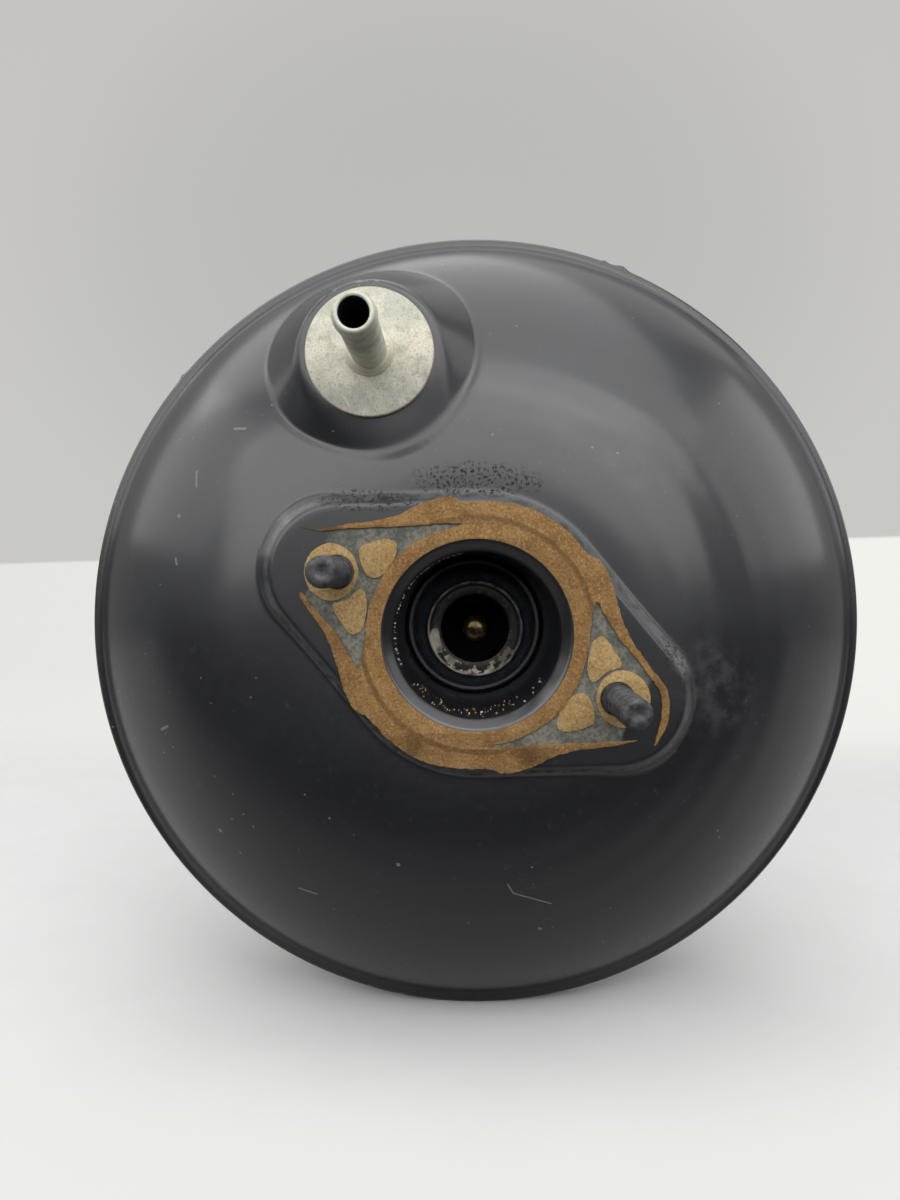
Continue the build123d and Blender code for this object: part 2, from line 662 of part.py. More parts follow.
def output_rod():
    """Push rod with a round head and a slimmer nose with a rounded tip."""
    tip = behind(ROD_TIP_DEPTH)
    head_front = HUB_FRONT + FACE_GAP
    nose_end = tip + ROD_NOSE_LENGTH
    round_off = ROD_NOSE_R / 2
    points = [(0, tip), (ROD_NOSE_R / 2, tip + round_off / 4), (ROD_NOSE_R, tip + round_off),
              (ROD_NOSE_R, nose_end), (ROD_R, nose_end + ROD_R - ROD_NOSE_R), (ROD_R, head_front),
              (REACTION_BORE_R - RUN, head_front), (REACTION_BORE_R - RUN, head_front + ROD_HEAD),
              (0, head_front + ROD_HEAD)]
    return turned(points, [0, ROD_NOSE_R / 2, round_off / 2, 0, 0, 0, 0, 0, 0])


def reaction_span():
    """Y of the front and rear faces of the reaction disc, behind the rod's head."""
    front = HUB_FRONT + FACE_GAP + ROD_HEAD
    return front, front + REACTION_DISC


def reaction_disc():
    return rod(REACTION_BORE_R - SOFT_GAP, *reaction_span())


def plunger_groove():
    """Y of the two shoulders of the groove that the stop key sits in."""
    front, rear = key_span()
    return front - FACE_GAP, rear + KEY_TRAVEL + ROD_TRAVEL + FACE_GAP


def valve_plunger():
    """Plunger with a nose for the reaction disc, a key groove and a ball socket."""
    nose = reaction_span()[1] + PLUNGER_NOSE_GAP
    shoulder = nose + PLUNGER_NOSE_LENGTH
    groove_front, groove_rear = plunger_groove()
    points = [(0, nose), (PLUNGER_NOSE_R, nose), (PLUNGER_NOSE_R, shoulder),
              (PLUNGER_R, shoulder), (PLUNGER_R, groove_front), (PLUNGER_CORE_R, groove_front),
              (PLUNGER_CORE_R, groove_rear), (PLUNGER_HEAD_R, groove_rear),
              (PLUNGER_HEAD_R, PLUNGER_HEAD_END), (0, PLUNGER_HEAD_END)]
    socket = Pos(0, BALL_Y, 0) * Sphere(BALL_R + BALL_GAP)
    mouth = turned([(0, BALL_Y), (INPUT_NECK_R, BALL_Y), (SOCKET_MOUTH_R, PLUNGER_HEAD_END),
                    (0, PLUNGER_HEAD_END)])
    return turned(points) - socket - mouth


def input_rod():
    """Pedal rod: ball end, neck, shaft with a spring collar, and a threaded end."""
    neck_end = PLUNGER_HEAD_END + SHEET
    collar = ROD_SEAT_Y + RETAINER + RUN
    points = [(0, BALL_Y), (INPUT_NECK_R, BALL_Y), (INPUT_NECK_R, neck_end),
              (INPUT_R, neck_end + INPUT_R - INPUT_NECK_R), (INPUT_R, collar), (COLLAR_R, collar),
              (COLLAR_R, collar + COLLAR), (INPUT_R, collar + COLLAR), (INPUT_R, THREAD_START),
              (THREAD_R, THREAD_START), (THREAD_R, THREAD_END - STUD_CHAMFER),
              (THREAD_R - STUD_CHAMFER, THREAD_END), (0, THREAD_END)]
    return turned(points) + Pos(0, BALL_Y, 0) * Sphere(BALL_R)


def poppet_valve():
    """Rubber valve: a flat face ring, a thin sleeve and a bead held by the retainer."""
    face = PLUNGER_HEAD_END + SOFT_GAP
    back = face + POPPET_FACE
    sleeve_inner = POPPET_SLEEVE_R - POPPET_SLEEVE
    bead_end = POPPET_BEAD_START + POPPET_BEAD
    points = [(POPPET_BORE_R, face), (POPPET_R, face), (POPPET_R, back),
              (POPPET_SLEEVE_R, back), (POPPET_SLEEVE_R, POPPET_BEAD_START),
              (CHAMBER_R - RUN, POPPET_BEAD_START), (CHAMBER_R - RUN, bead_end),
              (sleeve_inner, bead_end), (sleeve_inner, back), (POPPET_BORE_R, back)]
    return turned(points)


def retainer_y():
    return POPPET_BEAD_START + POPPET_BEAD + FACE_GAP


def poppet_retainer():
    """Pressed cup that holds the valve's bead and backs both springs."""
    start = retainer_y()
    points = [(RETAINER_BORE_R, start), (CHAMBER_R - RUN, start),
              (CHAMBER_R - RUN, start + RETAINER_LENGTH)]
    return sheet(points, [RETAINER], RETAINER)


def poppet_spring():
    start = PLUNGER_HEAD_END + SOFT_GAP + POPPET_FACE
    return coil(start, retainer_y(), POPPET_SPRING_R, POPPET_SPRING_R, POPPET_WIRE_R,
                POPPET_SPRING_TURNS)


def input_rod_spring():
    start = retainer_y() + RETAINER
    return coil(start, ROD_SEAT_Y, ROD_SPRING_FRONT_R, ROD_SPRING_REAR_R, ROD_WIRE_R,
                ROD_SPRING_TURNS)


def input_rod_spring_seat():
    return ring(ROD_SEAT_R, INPUT_R + RUN, ROD_SEAT_Y, ROD_SEAT_Y + RETAINER)


def silencer_y():
    return BODY_REAR - FILTER_RECESS - SILENCER


def air_filter():
    end = silencer_y() - FACE_GAP
    return ring(CHAMBER_R - FACE_GAP, FILTER_BORE_R, end - FILTER, end)


def air_silencer():
    return ring(CHAMBER_R - FACE_GAP, FILTER_BORE_R, silencer_y(), silencer_y() + SILENCER)


def neck_bearing():
    """Plastic guide ring in the rear shell's neck that the valve body slides in."""
    return ring(NECK_R - SHEET - RUN, BODY_R + RUN, BEARING_START, BEARING_START + BEARING)


def neck_seal():
    """Rubber lip seal behind the guide ring."""
    start = BEARING_START + BEARING + FACE_GAP
    end = start + NECK_SEAL
    outer = NECK_R - SHEET - RUN
    lip = BODY_R + SOFT_GAP
    points = [(outer, start), (outer, end), (outer - NECK_LIP, end),
              (outer - NECK_LIP, start + NECK_LIP), (lip + NECK_LIP, start + NECK_LIP),
              (lip + NECK_LIP / 2, end - NECK_LIP), (lip, end - NECK_LIP),
              (lip + NECK_LIP / 2, start)]
    return turned(points)


def dust_boot():
    """Rubber bellows from the neck to the pedal rod."""
    start = NECK_LENGTH - BOOT_COLLAR
    first = NECK_LENGTH + BOOT
    collar_r = NECK_R + SOFT_GAP + BOOT
    last = first + BOOT_FOLDS * BOOT_FOLD
    points = [(collar_r, start), (collar_r, first)]
    for i in range(BOOT_FOLDS):
        fold = first + i * BOOT_FOLD
        points.append((BOOT_R, fold + BOOT_FOLD / 4))
        points.append((BOOT_VALLEY_R, fold + BOOT_FOLD * 3 / 4))
    tail_y = max(last, BODY_REAR + 2 * BOOT) + BOOT_FOLD / 2
    points += [(BOOT_VALLEY_R, tail_y), (BOOT_TAIL_R, tail_y + BOOT_FOLD),
               (INPUT_R + SOFT_GAP + BOOT, tail_y + BOOT_FOLD),
               (INPUT_R + SOFT_GAP + BOOT, tail_y + BOOT_TAIL)]
    return sheet(points, [BOOT_BEND_R] * (len(points) - 2), BOOT)


def clevis_lock_nut():
    nut = extrude(rear_plane(CLEVIS_BASE - NUT) * RegularPolygon(NUT_WIDTH / 2, 6,
                                                                 major_radius=False), NUT)
    return nut - rod(THREAD_R + RUN, CLEVIS_BASE - 2 * NUT, CLEVIS_BASE)


def clevis():
    """Forged fork for the pedal's pin, bored and threaded for the rod."""
    side = Pos((CLEVIS_BASE + CLEVIS_BOSS + CLEVIS_PIN_Y) / 2, 0) * Rectangle(
        CLEVIS_PIN_Y - CLEVIS_BASE - CLEVIS_BOSS, 2 * CLEVIS_EAR_R)
    side += Pos(CLEVIS_PIN_Y, 0) * Circle(CLEVIS_EAR_R)
    side_plane = Plane((-CLEVIS_WIDTH / 2, 0, 0), x_dir=(0, 1, 0), z_dir=(1, 0, 0))
    fork = extrude(side_plane * side, CLEVIS_WIDTH)
    fork += rod(CLEVIS_BOSS_R, CLEVIS_BASE, CLEVIS_BASE + CLEVIS_BOSS)
    slot_length = CLEVIS_PIN_Y + 2 * CLEVIS_EAR_R - CLEVIS_SLOT_START
    slot = Box(CLEVIS_SLOT, slot_length, 4 * CLEVIS_EAR_R)
    fork -= Pos(0, CLEVIS_SLOT_START + slot_length / 2, 0) * slot
    fork -= extrude(side_plane * Pos(CLEVIS_PIN_Y, 0) * Circle(CLEVIS_PIN_R), CLEVIS_WIDTH)
    return fork - rod(THREAD_R + RUN, CLEVIS_BASE, CLEVIS_SLOT_START)


PARTS = {
    "front_shell": front_shell,
    "front_reinforcement_plate": reinforcement_plate,
    "master_cylinder_studs": master_cylinder_studs,
    "flange_gasket": flange_gasket,
    "vacuum_disc": vacuum_disc,
    "vacuum_nipple": vacuum_nipple,
    "front_seal": front_seal,
    "rear_shell": rear_shell,
    "firewall_studs": firewall_studs,
    "neck_bearing": neck_bearing,
    "neck_seal": neck_seal,
    "dust_boot": dust_boot,
    "return_spring": return_spring,
    "return_spring_seat": spring_seat,
    "diaphragm": diaphragm,
    "diaphragm_plate": diaphragm_plate,
    "valve_body": valve_body,
    "output_rod": output_rod,
    "reaction_disc": reaction_disc,
    "stop_key": stop_key,
    "valve_plunger": valve_plunger,
    "poppet_valve": poppet_valve,
    "poppet_spring": poppet_spring,
    "poppet_retainer": poppet_retainer,
    "air_filter": air_filter,
    "air_silencer": air_silencer,
    "input_rod": input_rod,
    "input_rod_spring": input_rod_spring,
    "input_rod_spring_seat": input_rod_spring_seat,
    "clevis_lock_nut": clevis_lock_nut,
    "clevis": clevis,
}

os.makedirs("parts", exist_ok=True)
for name, make in PARTS.items():
    export_step(make(), f"parts/{name}.step")
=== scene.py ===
from functools import reduce
from math import cos, hypot, pi, radians, sin

import bmesh
import bpy
import numpy as np
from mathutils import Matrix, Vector


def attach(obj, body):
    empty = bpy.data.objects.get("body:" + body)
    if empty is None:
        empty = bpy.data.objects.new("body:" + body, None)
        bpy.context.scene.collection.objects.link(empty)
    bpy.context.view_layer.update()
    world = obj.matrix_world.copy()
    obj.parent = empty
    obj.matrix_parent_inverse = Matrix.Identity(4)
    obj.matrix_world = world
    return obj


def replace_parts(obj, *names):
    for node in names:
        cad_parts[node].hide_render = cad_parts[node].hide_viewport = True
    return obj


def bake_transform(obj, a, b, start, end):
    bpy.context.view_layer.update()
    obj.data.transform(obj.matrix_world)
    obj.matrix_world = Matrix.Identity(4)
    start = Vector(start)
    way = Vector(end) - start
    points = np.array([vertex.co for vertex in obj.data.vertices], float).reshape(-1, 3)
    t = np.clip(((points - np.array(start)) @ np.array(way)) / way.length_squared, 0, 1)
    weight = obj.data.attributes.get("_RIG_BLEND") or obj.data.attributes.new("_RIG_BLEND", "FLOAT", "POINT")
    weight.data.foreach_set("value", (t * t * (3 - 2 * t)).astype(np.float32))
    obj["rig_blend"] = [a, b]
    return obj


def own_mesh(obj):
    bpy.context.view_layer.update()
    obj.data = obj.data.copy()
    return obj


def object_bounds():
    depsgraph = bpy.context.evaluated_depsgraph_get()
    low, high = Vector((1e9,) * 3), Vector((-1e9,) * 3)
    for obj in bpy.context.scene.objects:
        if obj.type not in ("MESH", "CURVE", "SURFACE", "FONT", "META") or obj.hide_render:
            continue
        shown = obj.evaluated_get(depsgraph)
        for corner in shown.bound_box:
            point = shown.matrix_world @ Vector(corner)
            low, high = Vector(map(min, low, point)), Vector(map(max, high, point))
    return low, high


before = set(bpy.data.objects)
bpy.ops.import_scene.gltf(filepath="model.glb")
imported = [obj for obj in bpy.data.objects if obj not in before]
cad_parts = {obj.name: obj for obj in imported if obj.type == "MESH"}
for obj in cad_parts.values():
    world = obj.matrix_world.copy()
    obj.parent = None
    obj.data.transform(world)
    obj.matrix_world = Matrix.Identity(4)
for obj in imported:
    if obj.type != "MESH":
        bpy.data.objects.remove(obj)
cad_box = [list(corner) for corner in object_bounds()]


# Camera and studio. The booster stands on the lowest point of its rim on a white table,
# with a pale grey wall behind it, under broad soft light from above and in front.

camera = bpy.data.objects.new("camera", bpy.data.cameras.new("camera"))
camera.data.lens = 25.95
camera.data.sensor_width = 36.0
camera.data.clip_start = 0.01
camera.location = (-0.0048, -0.352, 0.0159)
camera.rotation_euler = (radians(88.402), 0.0, radians(0.606))
bpy.context.collection.objects.link(camera)
bpy.context.scene.camera = camera
bpy.context.scene.view_settings.view_transform = "Standard"


class Value:
    """What a node gives out: an expression on it adds the nodes for it to its graph."""

    def __init__(self, graph, socket):
        self.graph = graph
        self.socket = socket

    def maths(self, operation, *values):
        return self.graph.add("ShaderNodeMath", {"operation": operation}, dict(enumerate(values)))

    def __add__(self, other):
        return self.maths("ADD", self, other)

    __radd__ = __add__

    def __mul__(self, other):
        return self.maths("MULTIPLY", self, other)

    __rmul__ = __mul__

    def __sub__(self, other):
        return self.maths("SUBTRACT", self, other)

    def __rsub__(self, other):
        return self.maths("SUBTRACT", other, self)

    def __truediv__(self, other):
        return self.maths("DIVIDE", self, other)

    def __abs__(self):
        return self.maths("ABSOLUTE", self)

    def least(self, other):
        return self.maths("MINIMUM", self, other)

    def most(self, other):
        return self.maths("MAXIMUM", self, other)

    def reach(self, other):
        """Distance that this value and another one add up to, at a right angle."""
        return self.maths("SQRT", self * self + other * other)

    def step(self, low, high):
        """Rises smoothly from 0 at low to 1 at high, or falls where low is above high."""
        inputs = {"Value": self, "From Min": low, "From Max": high}
        return self.graph.add("ShaderNodeMapRange", {"interpolation_type": "SMOOTHSTEP"}, inputs)


class Graph:
    """A node tree, of a material or of geometry."""

    def __init__(self, tree):
        self.tree = tree

    def give(self, node, inputs):
        """Sets each input of a node to a number or colour, or links a value to it."""
        for key, value in inputs.items():
            key = key.replace("_", " ") if isinstance(key, str) else key
            if isinstance(value, Value):
                self.tree.links.new(value.socket, node.inputs[key])
            elif isinstance(value, (tuple, list)):
                size = len(node.inputs[key].default_value)
                node.inputs[key].default_value = (tuple(value) + (1.0,))[:size]
            else:
                node.inputs[key].default_value = value

    def add(self, kind, settings, inputs, output=0):
        node = self.tree.nodes.new(kind)
        for key, value in settings.items():
            setattr(node, key, value)
        self.give(node, inputs)
        return Value(self, node.outputs[output])

    def parts(self, vector):
        """The three coordinates of a vector."""
        return [self.add("ShaderNodeSeparateXYZ", {}, {"Vector": vector}, i) for i in range(3)]


class Finish(Graph):
    """A material under its maker's name. Uniform numbers are set on the shader itself."""

    def __init__(self, name, shader="ShaderNodeBsdfPrincipled", **numbers):
        self.material = bpy.data.materials.new(name)
        self.material.use_nodes = True
        super().__init__(self.material.node_tree)
        self.tree.nodes.clear()
        self.shader = self.tree.nodes.new(shader)
        self.output = self.tree.nodes.new("ShaderNodeOutputMaterial")
        self.tree.links.new(self.shader.outputs[0], self.output.inputs[0])
        self.give(self.shader, numbers)

    def place(self):
        """Object coordinates, and each of the three on its own."""
        whole = self.add("ShaderNodeTexCoord", {}, {}, "Object")
        return whole, *self.parts(whole)

    def noise(self, vector, scale, detail=4.0, rough=0.55, warp=0.0):
        inputs = {"Vector": vector, "Scale": scale, "Detail": detail, "Roughness": rough,
                  "Distortion": warp}
        return self.add("ShaderNodeTexNoise", {}, inputs)

    def cells(self, vector, scale):
        return self.add("ShaderNodeTexVoronoi", {}, {"Vector": vector, "Scale": scale})

    def mix(self, share, first, second):
        """Colour that goes from the first to the second as share goes from 0 to 1."""
        inputs = {0: share, 6: first, 7: second}
        return self.add("ShaderNodeMix", {"data_type": "RGBA"}, inputs, 2)

    def cover(self, colour, height, strength, distance, **inputs):
        """Gives the shader its colour, a relief of this height, and any other inputs."""
        relief = {"Height": height, "Strength": strength, "Distance": distance}
        normal = self.add("ShaderNodeBump", {}, relief)
        self.give(self.shader, {"Base Color": colour, "Normal": normal, **inputs})

    def blob(self, across, up, x, z, width, height, edge=0.35, wander=None):
        """1 inside an oval of these half sizes about x and z, with a soft or torn edge."""
        across, up = (across - x) / width, (up - z) / height
        far = across * across + up * up
        if wander is not None:
            far = far + wander
        return far.step(1.0 + edge, 1.0 - edge)

    def stroke(self, across, up, start, end, width):
        """1 on a straight scratch from start to end."""
        run = (end[0] - start[0], end[1] - start[1])
        length = hypot(*run)
        along = (across - start[0]) * (run[0] / length) + (up - start[1]) * (run[1] / length)
        side = (across - start[0]) * (run[1] / length) - (up - start[1]) * (run[0] / length)
        past = (along - length).most(0.0 - along).most(0.0)
        return (abs(side) + past).step(width, width * 0.3)


TABLE_Z = cad_box[0][2]
WALL_Y = 0.80
STAGE_REACH = 4


def plain_mesh(name, points, faces):
    mesh = bpy.data.meshes.new(name)
    mesh.from_pydata([tuple(p) for p in points], [], [tuple(f) for f in faces])
    made = bpy.data.objects.new(name, mesh)
    bpy.context.collection.objects.link(made)
    return made


def sheet(name, low_y, high_z, finish):
    """One face as wide as the stage, from the lower front edge to the upper back edge."""
    side, corners = STAGE_REACH, ((low_y, TABLE_Z), (WALL_Y, high_z))
    points = [(x, *corners[i]) for x, i in ((-side, 0), (side, 0), (side, 1), (-side, 1))]
    made = plain_mesh(name, points, [(0, 1, 2, 3)])
    made.data.materials.append(finish.material)
    return made


# The camera sees the table white, with its own glow far off and in front of the shadow. Other
# rays see it grey, and darker towards the camera, so that the booster's paint stays dark.
white = Finish("white_table", "ShaderNodeBsdfDiffuse")
spot, x, y, z = white.place()
seen = white.add("ShaderNodeLightPath", {}, {}, "Is Camera Ray")
mirrored = white.mix(y.step(-0.26, -0.06), (0.05, 0.05, 0.055), (0.37, 0.37, 0.37))
flecked = white.noise(spot, 45.0, 5.0).step(0.3, 0.7)
flecked = white.mix(flecked, (0.95, 0.95, 0.94), (0.97, 0.97, 0.96))
white.give(white.shader, {"Color": white.mix(seen, mirrored, flecked)})
glow = white.add("ShaderNodeEmission", {}, {
    "Color": white.mix(x.step(-0.7, 0.7), (0.81, 0.81, 0.775), (0.88, 0.88, 0.84))})
in_shadow = white.blob(x, y, 0.0, -0.02, 0.17, 0.11, 0.5)
glowing = y.step(0.18, 0.45) + y.step(-0.03, -0.15) * (1.0 - in_shadow) * 0.7
both = white.add("ShaderNodeMixShader", {}, {
    0: seen * glowing, 1: Value(white, white.shader.outputs[0]), 2: glow})
white.give(white.output, {0: both})
table = sheet("table", -STAGE_REACH, TABLE_Z, white)

# The wall is grey above a slightly slanted line and as light as the table below it, with a
# painted shadow round the booster's top and a faint mottle.
grey = Finish("grey_wall", "ShaderNodeEmission")
spot, x, y, z = grey.place()
above = (z - x * 0.030 - 0.050).step(-0.002, 0.003)
upper = grey.mix(z.step(0.15, 0.85), (0.585, 0.580, 0.558), (0.565, 0.555, 0.532))
lower = grey.mix(x.step(-0.7, 0.7), (0.80, 0.80, 0.765), (0.90, 0.90, 0.855))
seen = grey.add("ShaderNodeLightPath", {}, {}, "Is Camera Ray")
# Painted shadow: the wall is darker round the booster's top; noise adds a faint mottle and speckle.
painted_shadow_and_mottle = grey.blob(x, z, -0.02, 0.44, 0.46, 0.36, 0.9) * 0.38
painted_shadow_and_mottle = painted_shadow_and_mottle + grey.noise(spot, 1.2, 2.0) * 0.05
painted_shadow_and_mottle = painted_shadow_and_mottle + grey.noise(spot, 90.0, 4.0, 0.7).step(0.60, 0.75) * 0.05
colour = grey.mix(painted_shadow_and_mottle, grey.mix(above, lower, upper), (0.40, 0.405, 0.40))
colour = grey.mix(seen, (0.16, 0.16, 0.16), colour)
grey.give(grey.shader, {"Color": colour})
wall = sheet("wall", WALL_Y, STAGE_REACH, grey)

for name, place, aim, width, height, watts in (
        ("front_light", (-0.10, -1.10, 0.62), (0, -0.1, 0), 2.8, 1.05, 15.0),
        ("top_light", (-0.05, -0.15, 1.12), (0, -0.1, 0), 3.0, 1.4, 13.0),
        ("right_light", (1.5, -0.1, 0.70), (0, -0.1, 0), 1.6, 1.0, 4.2),
        ("left_light", (-1.5, -0.1, 0.75), (0, -0.1, 0), 1.6, 0.9, 3.6),
        ("back_light", (0.2, 0.75, 0.9), (0, 0.05, 0), 1.4, 0.8, 1.0)):
    lamp = bpy.data.objects.new(name, bpy.data.lights.new(name, "AREA"))
    lamp.data.shape = "RECTANGLE"
    lamp.data.size = width
    lamp.data.size_y = height
    lamp.data.energy = watts
    lamp.location = place
    lamp.rotation_euler = (Vector(aim) - Vector(place)).to_track_quat("-Z", "Y").to_euler()
    lamp.visible_camera = False
    bpy.context.collection.objects.link(lamp)

world = bpy.data.worlds.new("studio")
world.use_nodes = True
world.node_tree.nodes["Background"].inputs["Color"].default_value = (0.12, 0.12, 0.125, 1.0)
bpy.context.scene.world = world


# Front shell: a deep-drawn steel pressing in satin black paint, with a raised diamond pad,
# a cup for the master cylinder's spigot, a cone-shaped boss for the hose disc, and a rim
# whose lip has eight windows with tabs bent in behind the rear shell.

MM = 0.001
LENGTH = 122.0
SHEET = 1.6
RIM_R = 123.5
RIM_DEPTH = 48.0
RIM_BEND = 2.5
LIP_END = 61.0
DOME_FLAT_R = 42.0
DOME_EDGE_R = 119.4
PAD_HEIGHT = 3.0
PAD_SLOPE = 2.5
PAD_CENTRE_R = 36.0
PAD_STUD_R = 18.0
STUD_SPACING = 82.0
STUD_TILT = radians(-24.3)
BORE_R = 22.5
BORE_LIP_R = 3.2
CUP_DEPTH = 53.0
CUP_HOLE_R = 17.0
BOSS_TURN = radians(-20.83)
BOSS_REACH = 81.0
BOSS_TOP_DEPTH = 3.5
BOSS_TOP_R = 19.5
BOSS_FOOT = (53.3, 115.2)
BOSS_SINK = 1.0
BOSS_EDGE = 1.9
FOOT_DIP = 0.7
FOOT_FILLET = 0.5
FLANGE_FILLET = 3.6
PAD_FILLET = 0.9
DRAW_RIPPLE = 0.08
COLUMNS = 640
WINDOWS = 8
WINDOW_DEPTHS = (57.4, 59.8)
WINDOW_COLUMNS = 12

turns = np.arange(COLUMNS) * 2 * pi / COLUMNS


def hull_reach(centre_r, stud_r):
    """Distance out to the diamond round the bore and both studs, at each turn."""
    sides = np.arange(1440) * 2 * pi / 1440
    support = np.maximum(centre_r, stud_r + STUD_SPACING / 2 * np.abs(np.cos(sides - STUD_TILT)))
    facing = np.cos(sides[:, None] - turns[None, :])
    reach = np.where(facing > 0.05, support[:, None] / np.maximum(facing, 0.05), 1e6)
    return reach.min(axis=0)


def soft_least(a, b, width):
    """The lesser of two depths, with the crease between them filled to a fillet."""
    share = np.maximum(width - np.abs(a - b), 0) / width
    return np.minimum(a, b) - share ** 2 * width / 4


def soft_most(a, b, width):
    return -soft_least(-a, -b, width)


def dome_depth(r):
    out = DOME_EDGE_R - DOME_FLAT_R
    drop = RIM_DEPTH - PAD_HEIGHT
    arc = (out ** 2 + drop ** 2) / (2 * drop)
    return PAD_HEIGHT + arc - np.sqrt(arc ** 2 - np.clip(r - DOME_FLAT_R, 0, out + 6) ** 2)


def with_boss(depth, x, z):
    """Adds the boss: a level top, a rolled edge and straight flanks down to an oval foot. On
    the pad's side, where the dome is nearly level, the dome dips a little at the foot."""
    inner, outer = BOSS_FOOT
    inner_depth, outer_depth = dome_depth(inner) + BOSS_SINK, dome_depth(outer) + BOSS_SINK
    half_run, half_fall = (outer - inner) / 2, (outer_depth - inner_depth) / 2
    half_width = hypot(half_run, half_fall)
    ahead = x * sin(BOSS_TURN) + z * cos(BOSS_TURN) - BOSS_REACH
    aside = x * cos(BOSS_TURN) - z * sin(BOSS_TURN)
    far = np.maximum(np.hypot(ahead, aside), 1e-6)
    u, v = ahead / far, aside / far
    shift = BOSS_REACH - (inner + outer) / 2
    a = (u / half_run) ** 2 + (v / half_width) ** 2
    b = 2 * u * shift / half_run ** 2
    c = (shift / half_run) ** 2 - 1
    foot = (-b + np.sqrt(b ** 2 - 4 * a * c)) / (2 * a)
    foot_depth = (inner_depth + outer_depth) / 2 + (foot * u + shift) / half_run * half_fall
    fall = (foot_depth - BOSS_TOP_DEPTH) / (foot - BOSS_TOP_R)
    flank = BOSS_TOP_DEPTH + (far - BOSS_TOP_R) * fall
    flank += 3 * np.maximum(far - foot - 3, 0) + 0.6 * np.maximum(far - foot, 0)
    boss = soft_most(flank, np.full_like(flank, BOSS_TOP_DEPTH), BOSS_EDGE)
    near = np.clip((2.2 - (boss - depth)) / 1.8, 0, 1)
    dip = FOOT_DIP * near ** 2 * (3 - 2 * near) * np.clip((0.1 - u) / 0.5, 0, 1)
    return soft_least(depth + dip, boss, FOOT_FILLET)


def pressed_depth(r):
    """Depth of the dome with its draw ripples, its flange and the boss, at each turn."""
    x, z = r * np.cos(turns), r * np.sin(turns)
    waves = np.sin(r * 0.62 + 1.3 * np.sin(turns + 0.8)) * np.exp(-((r - 72) / 20) ** 2)
    depth = dome_depth(r) + DRAW_RIPPLE * waves * (1 + np.cos(turns + 0.2)) / 2
    depth = soft_least(depth, np.full_like(r, RIM_DEPTH), FLANGE_FILLET)
    return with_boss(depth, x, z)


pad_edge = hull_reach(PAD_CENTRE_R, PAD_STUD_R)
pad_foot = hull_reach(PAD_CENTRE_R + PAD_SLOPE, PAD_STUD_R + PAD_SLOPE)
level = np.ones(COLUMNS)
cup_side = [(CUP_HOLE_R, CUP_DEPTH), (19.0, CUP_DEPTH), (21.1, CUP_DEPTH), (21.8, 52.7),
            (22.1, 52.0), (22.2, 44.0), (22.3, 36.0), (22.4, 28.0), (BORE_R, 20.0),
            (BORE_R, 12.0), (BORE_R, 6.0), (BORE_R, BORE_LIP_R)]
cup_side += [(BORE_R + BORE_LIP_R * share, BORE_LIP_R * fall) for share, fall in (
    (0.02, 0.80), (0.06, 0.74), (0.25, 0.55), (0.45, 0.37), (0.62, 0.23), (0.75, 0.12),
    (0.87, 0.04), (1.0, 0.0))]
rows = [(r * level, depth * level) for r, depth in cup_side]
mouth_r = BORE_R + BORE_LIP_R
for share in (0.1, 0.3, 0.5, 0.7, 0.85, 0.94):
    rows.append((mouth_r + share * (pad_edge - 0.9 - mouth_r), 0 * level))
for step in (-0.9, -0.5, -0.2, 0.1, 0.4, 0.8, 1.2, 1.6, 2.0, 2.3, 2.6, 2.9, 3.3, 3.8):
    r = pad_edge + step * (pad_foot - pad_edge) / PAD_SLOPE
    slope = soft_most(step * PAD_HEIGHT / PAD_SLOPE * level, 0 * level, PAD_FILLET)
    rows.append((r, soft_least(slope, pressed_depth(r), PAD_FILLET)))
start_r = pad_foot + 1.3 * (pad_foot - pad_edge) / PAD_SLOPE
for share in np.linspace(0, 1, 74)[1:]:
    r = start_r + share * (DOME_EDGE_R - 1.0 - start_r)
    rows.append((r, pressed_depth(r)))
for r in (-0.6, -0.2, 0.2, 0.6, 1.1, 1.8, 2.8):
    r = (DOME_EDGE_R + r) * level
    rows.append((r, pressed_depth(r)))
lumps = sum(np.exp(-((turns - radians(at)) / radians(wide)) ** 2) * tall
            for at, wide, tall in ((139.5, 0.5, 0.6), (67.6, 0.8, 0.9), (70.2, 0.4, 0.5)))
for i in range(1, 7):
    turn = i * pi / 12
    rows.append(((RIM_R - RIM_BEND * (1 - sin(turn))) * level + lumps * (i > 3),
                 (RIM_DEPTH + RIM_BEND * (1 - cos(turn))) * level))
for depth in (51.0, 53.0, *WINDOW_DEPTHS, LIP_END - 0.3):
    rows.append((RIM_R * level + lumps * (depth < 52), depth * level))
outer_window = len(rows) - 3
rows.append(((RIM_R - 0.3) * level, LIP_END * level))
rows.append(((RIM_R - SHEET + 0.3) * level, LIP_END * level))
inner_r = RIM_R - SHEET
for depth in (LIP_END - 0.3, *reversed(WINDOW_DEPTHS), RIM_DEPTH + 2 * SHEET, RIM_DEPTH + SHEET):
    rows.append((inner_r * level, depth * level))
inner_window = len(rows) - 4
for r in (118.0, 112.0, 104.0, 96.0, 88.0, 78.0, 68.0, 62.0):
    rows.append((r * level, pressed_depth(r * level) + SHEET + 0.6))
for r, depth in ((30.0, PAD_HEIGHT + SHEET), (24.6, 9.0), (24.1, 20.0), (23.8, 52.0),
                 (22.4, CUP_DEPTH + SHEET), (CUP_HOLE_R, CUP_DEPTH + SHEET)):
    rows.append((r * level, depth * level))

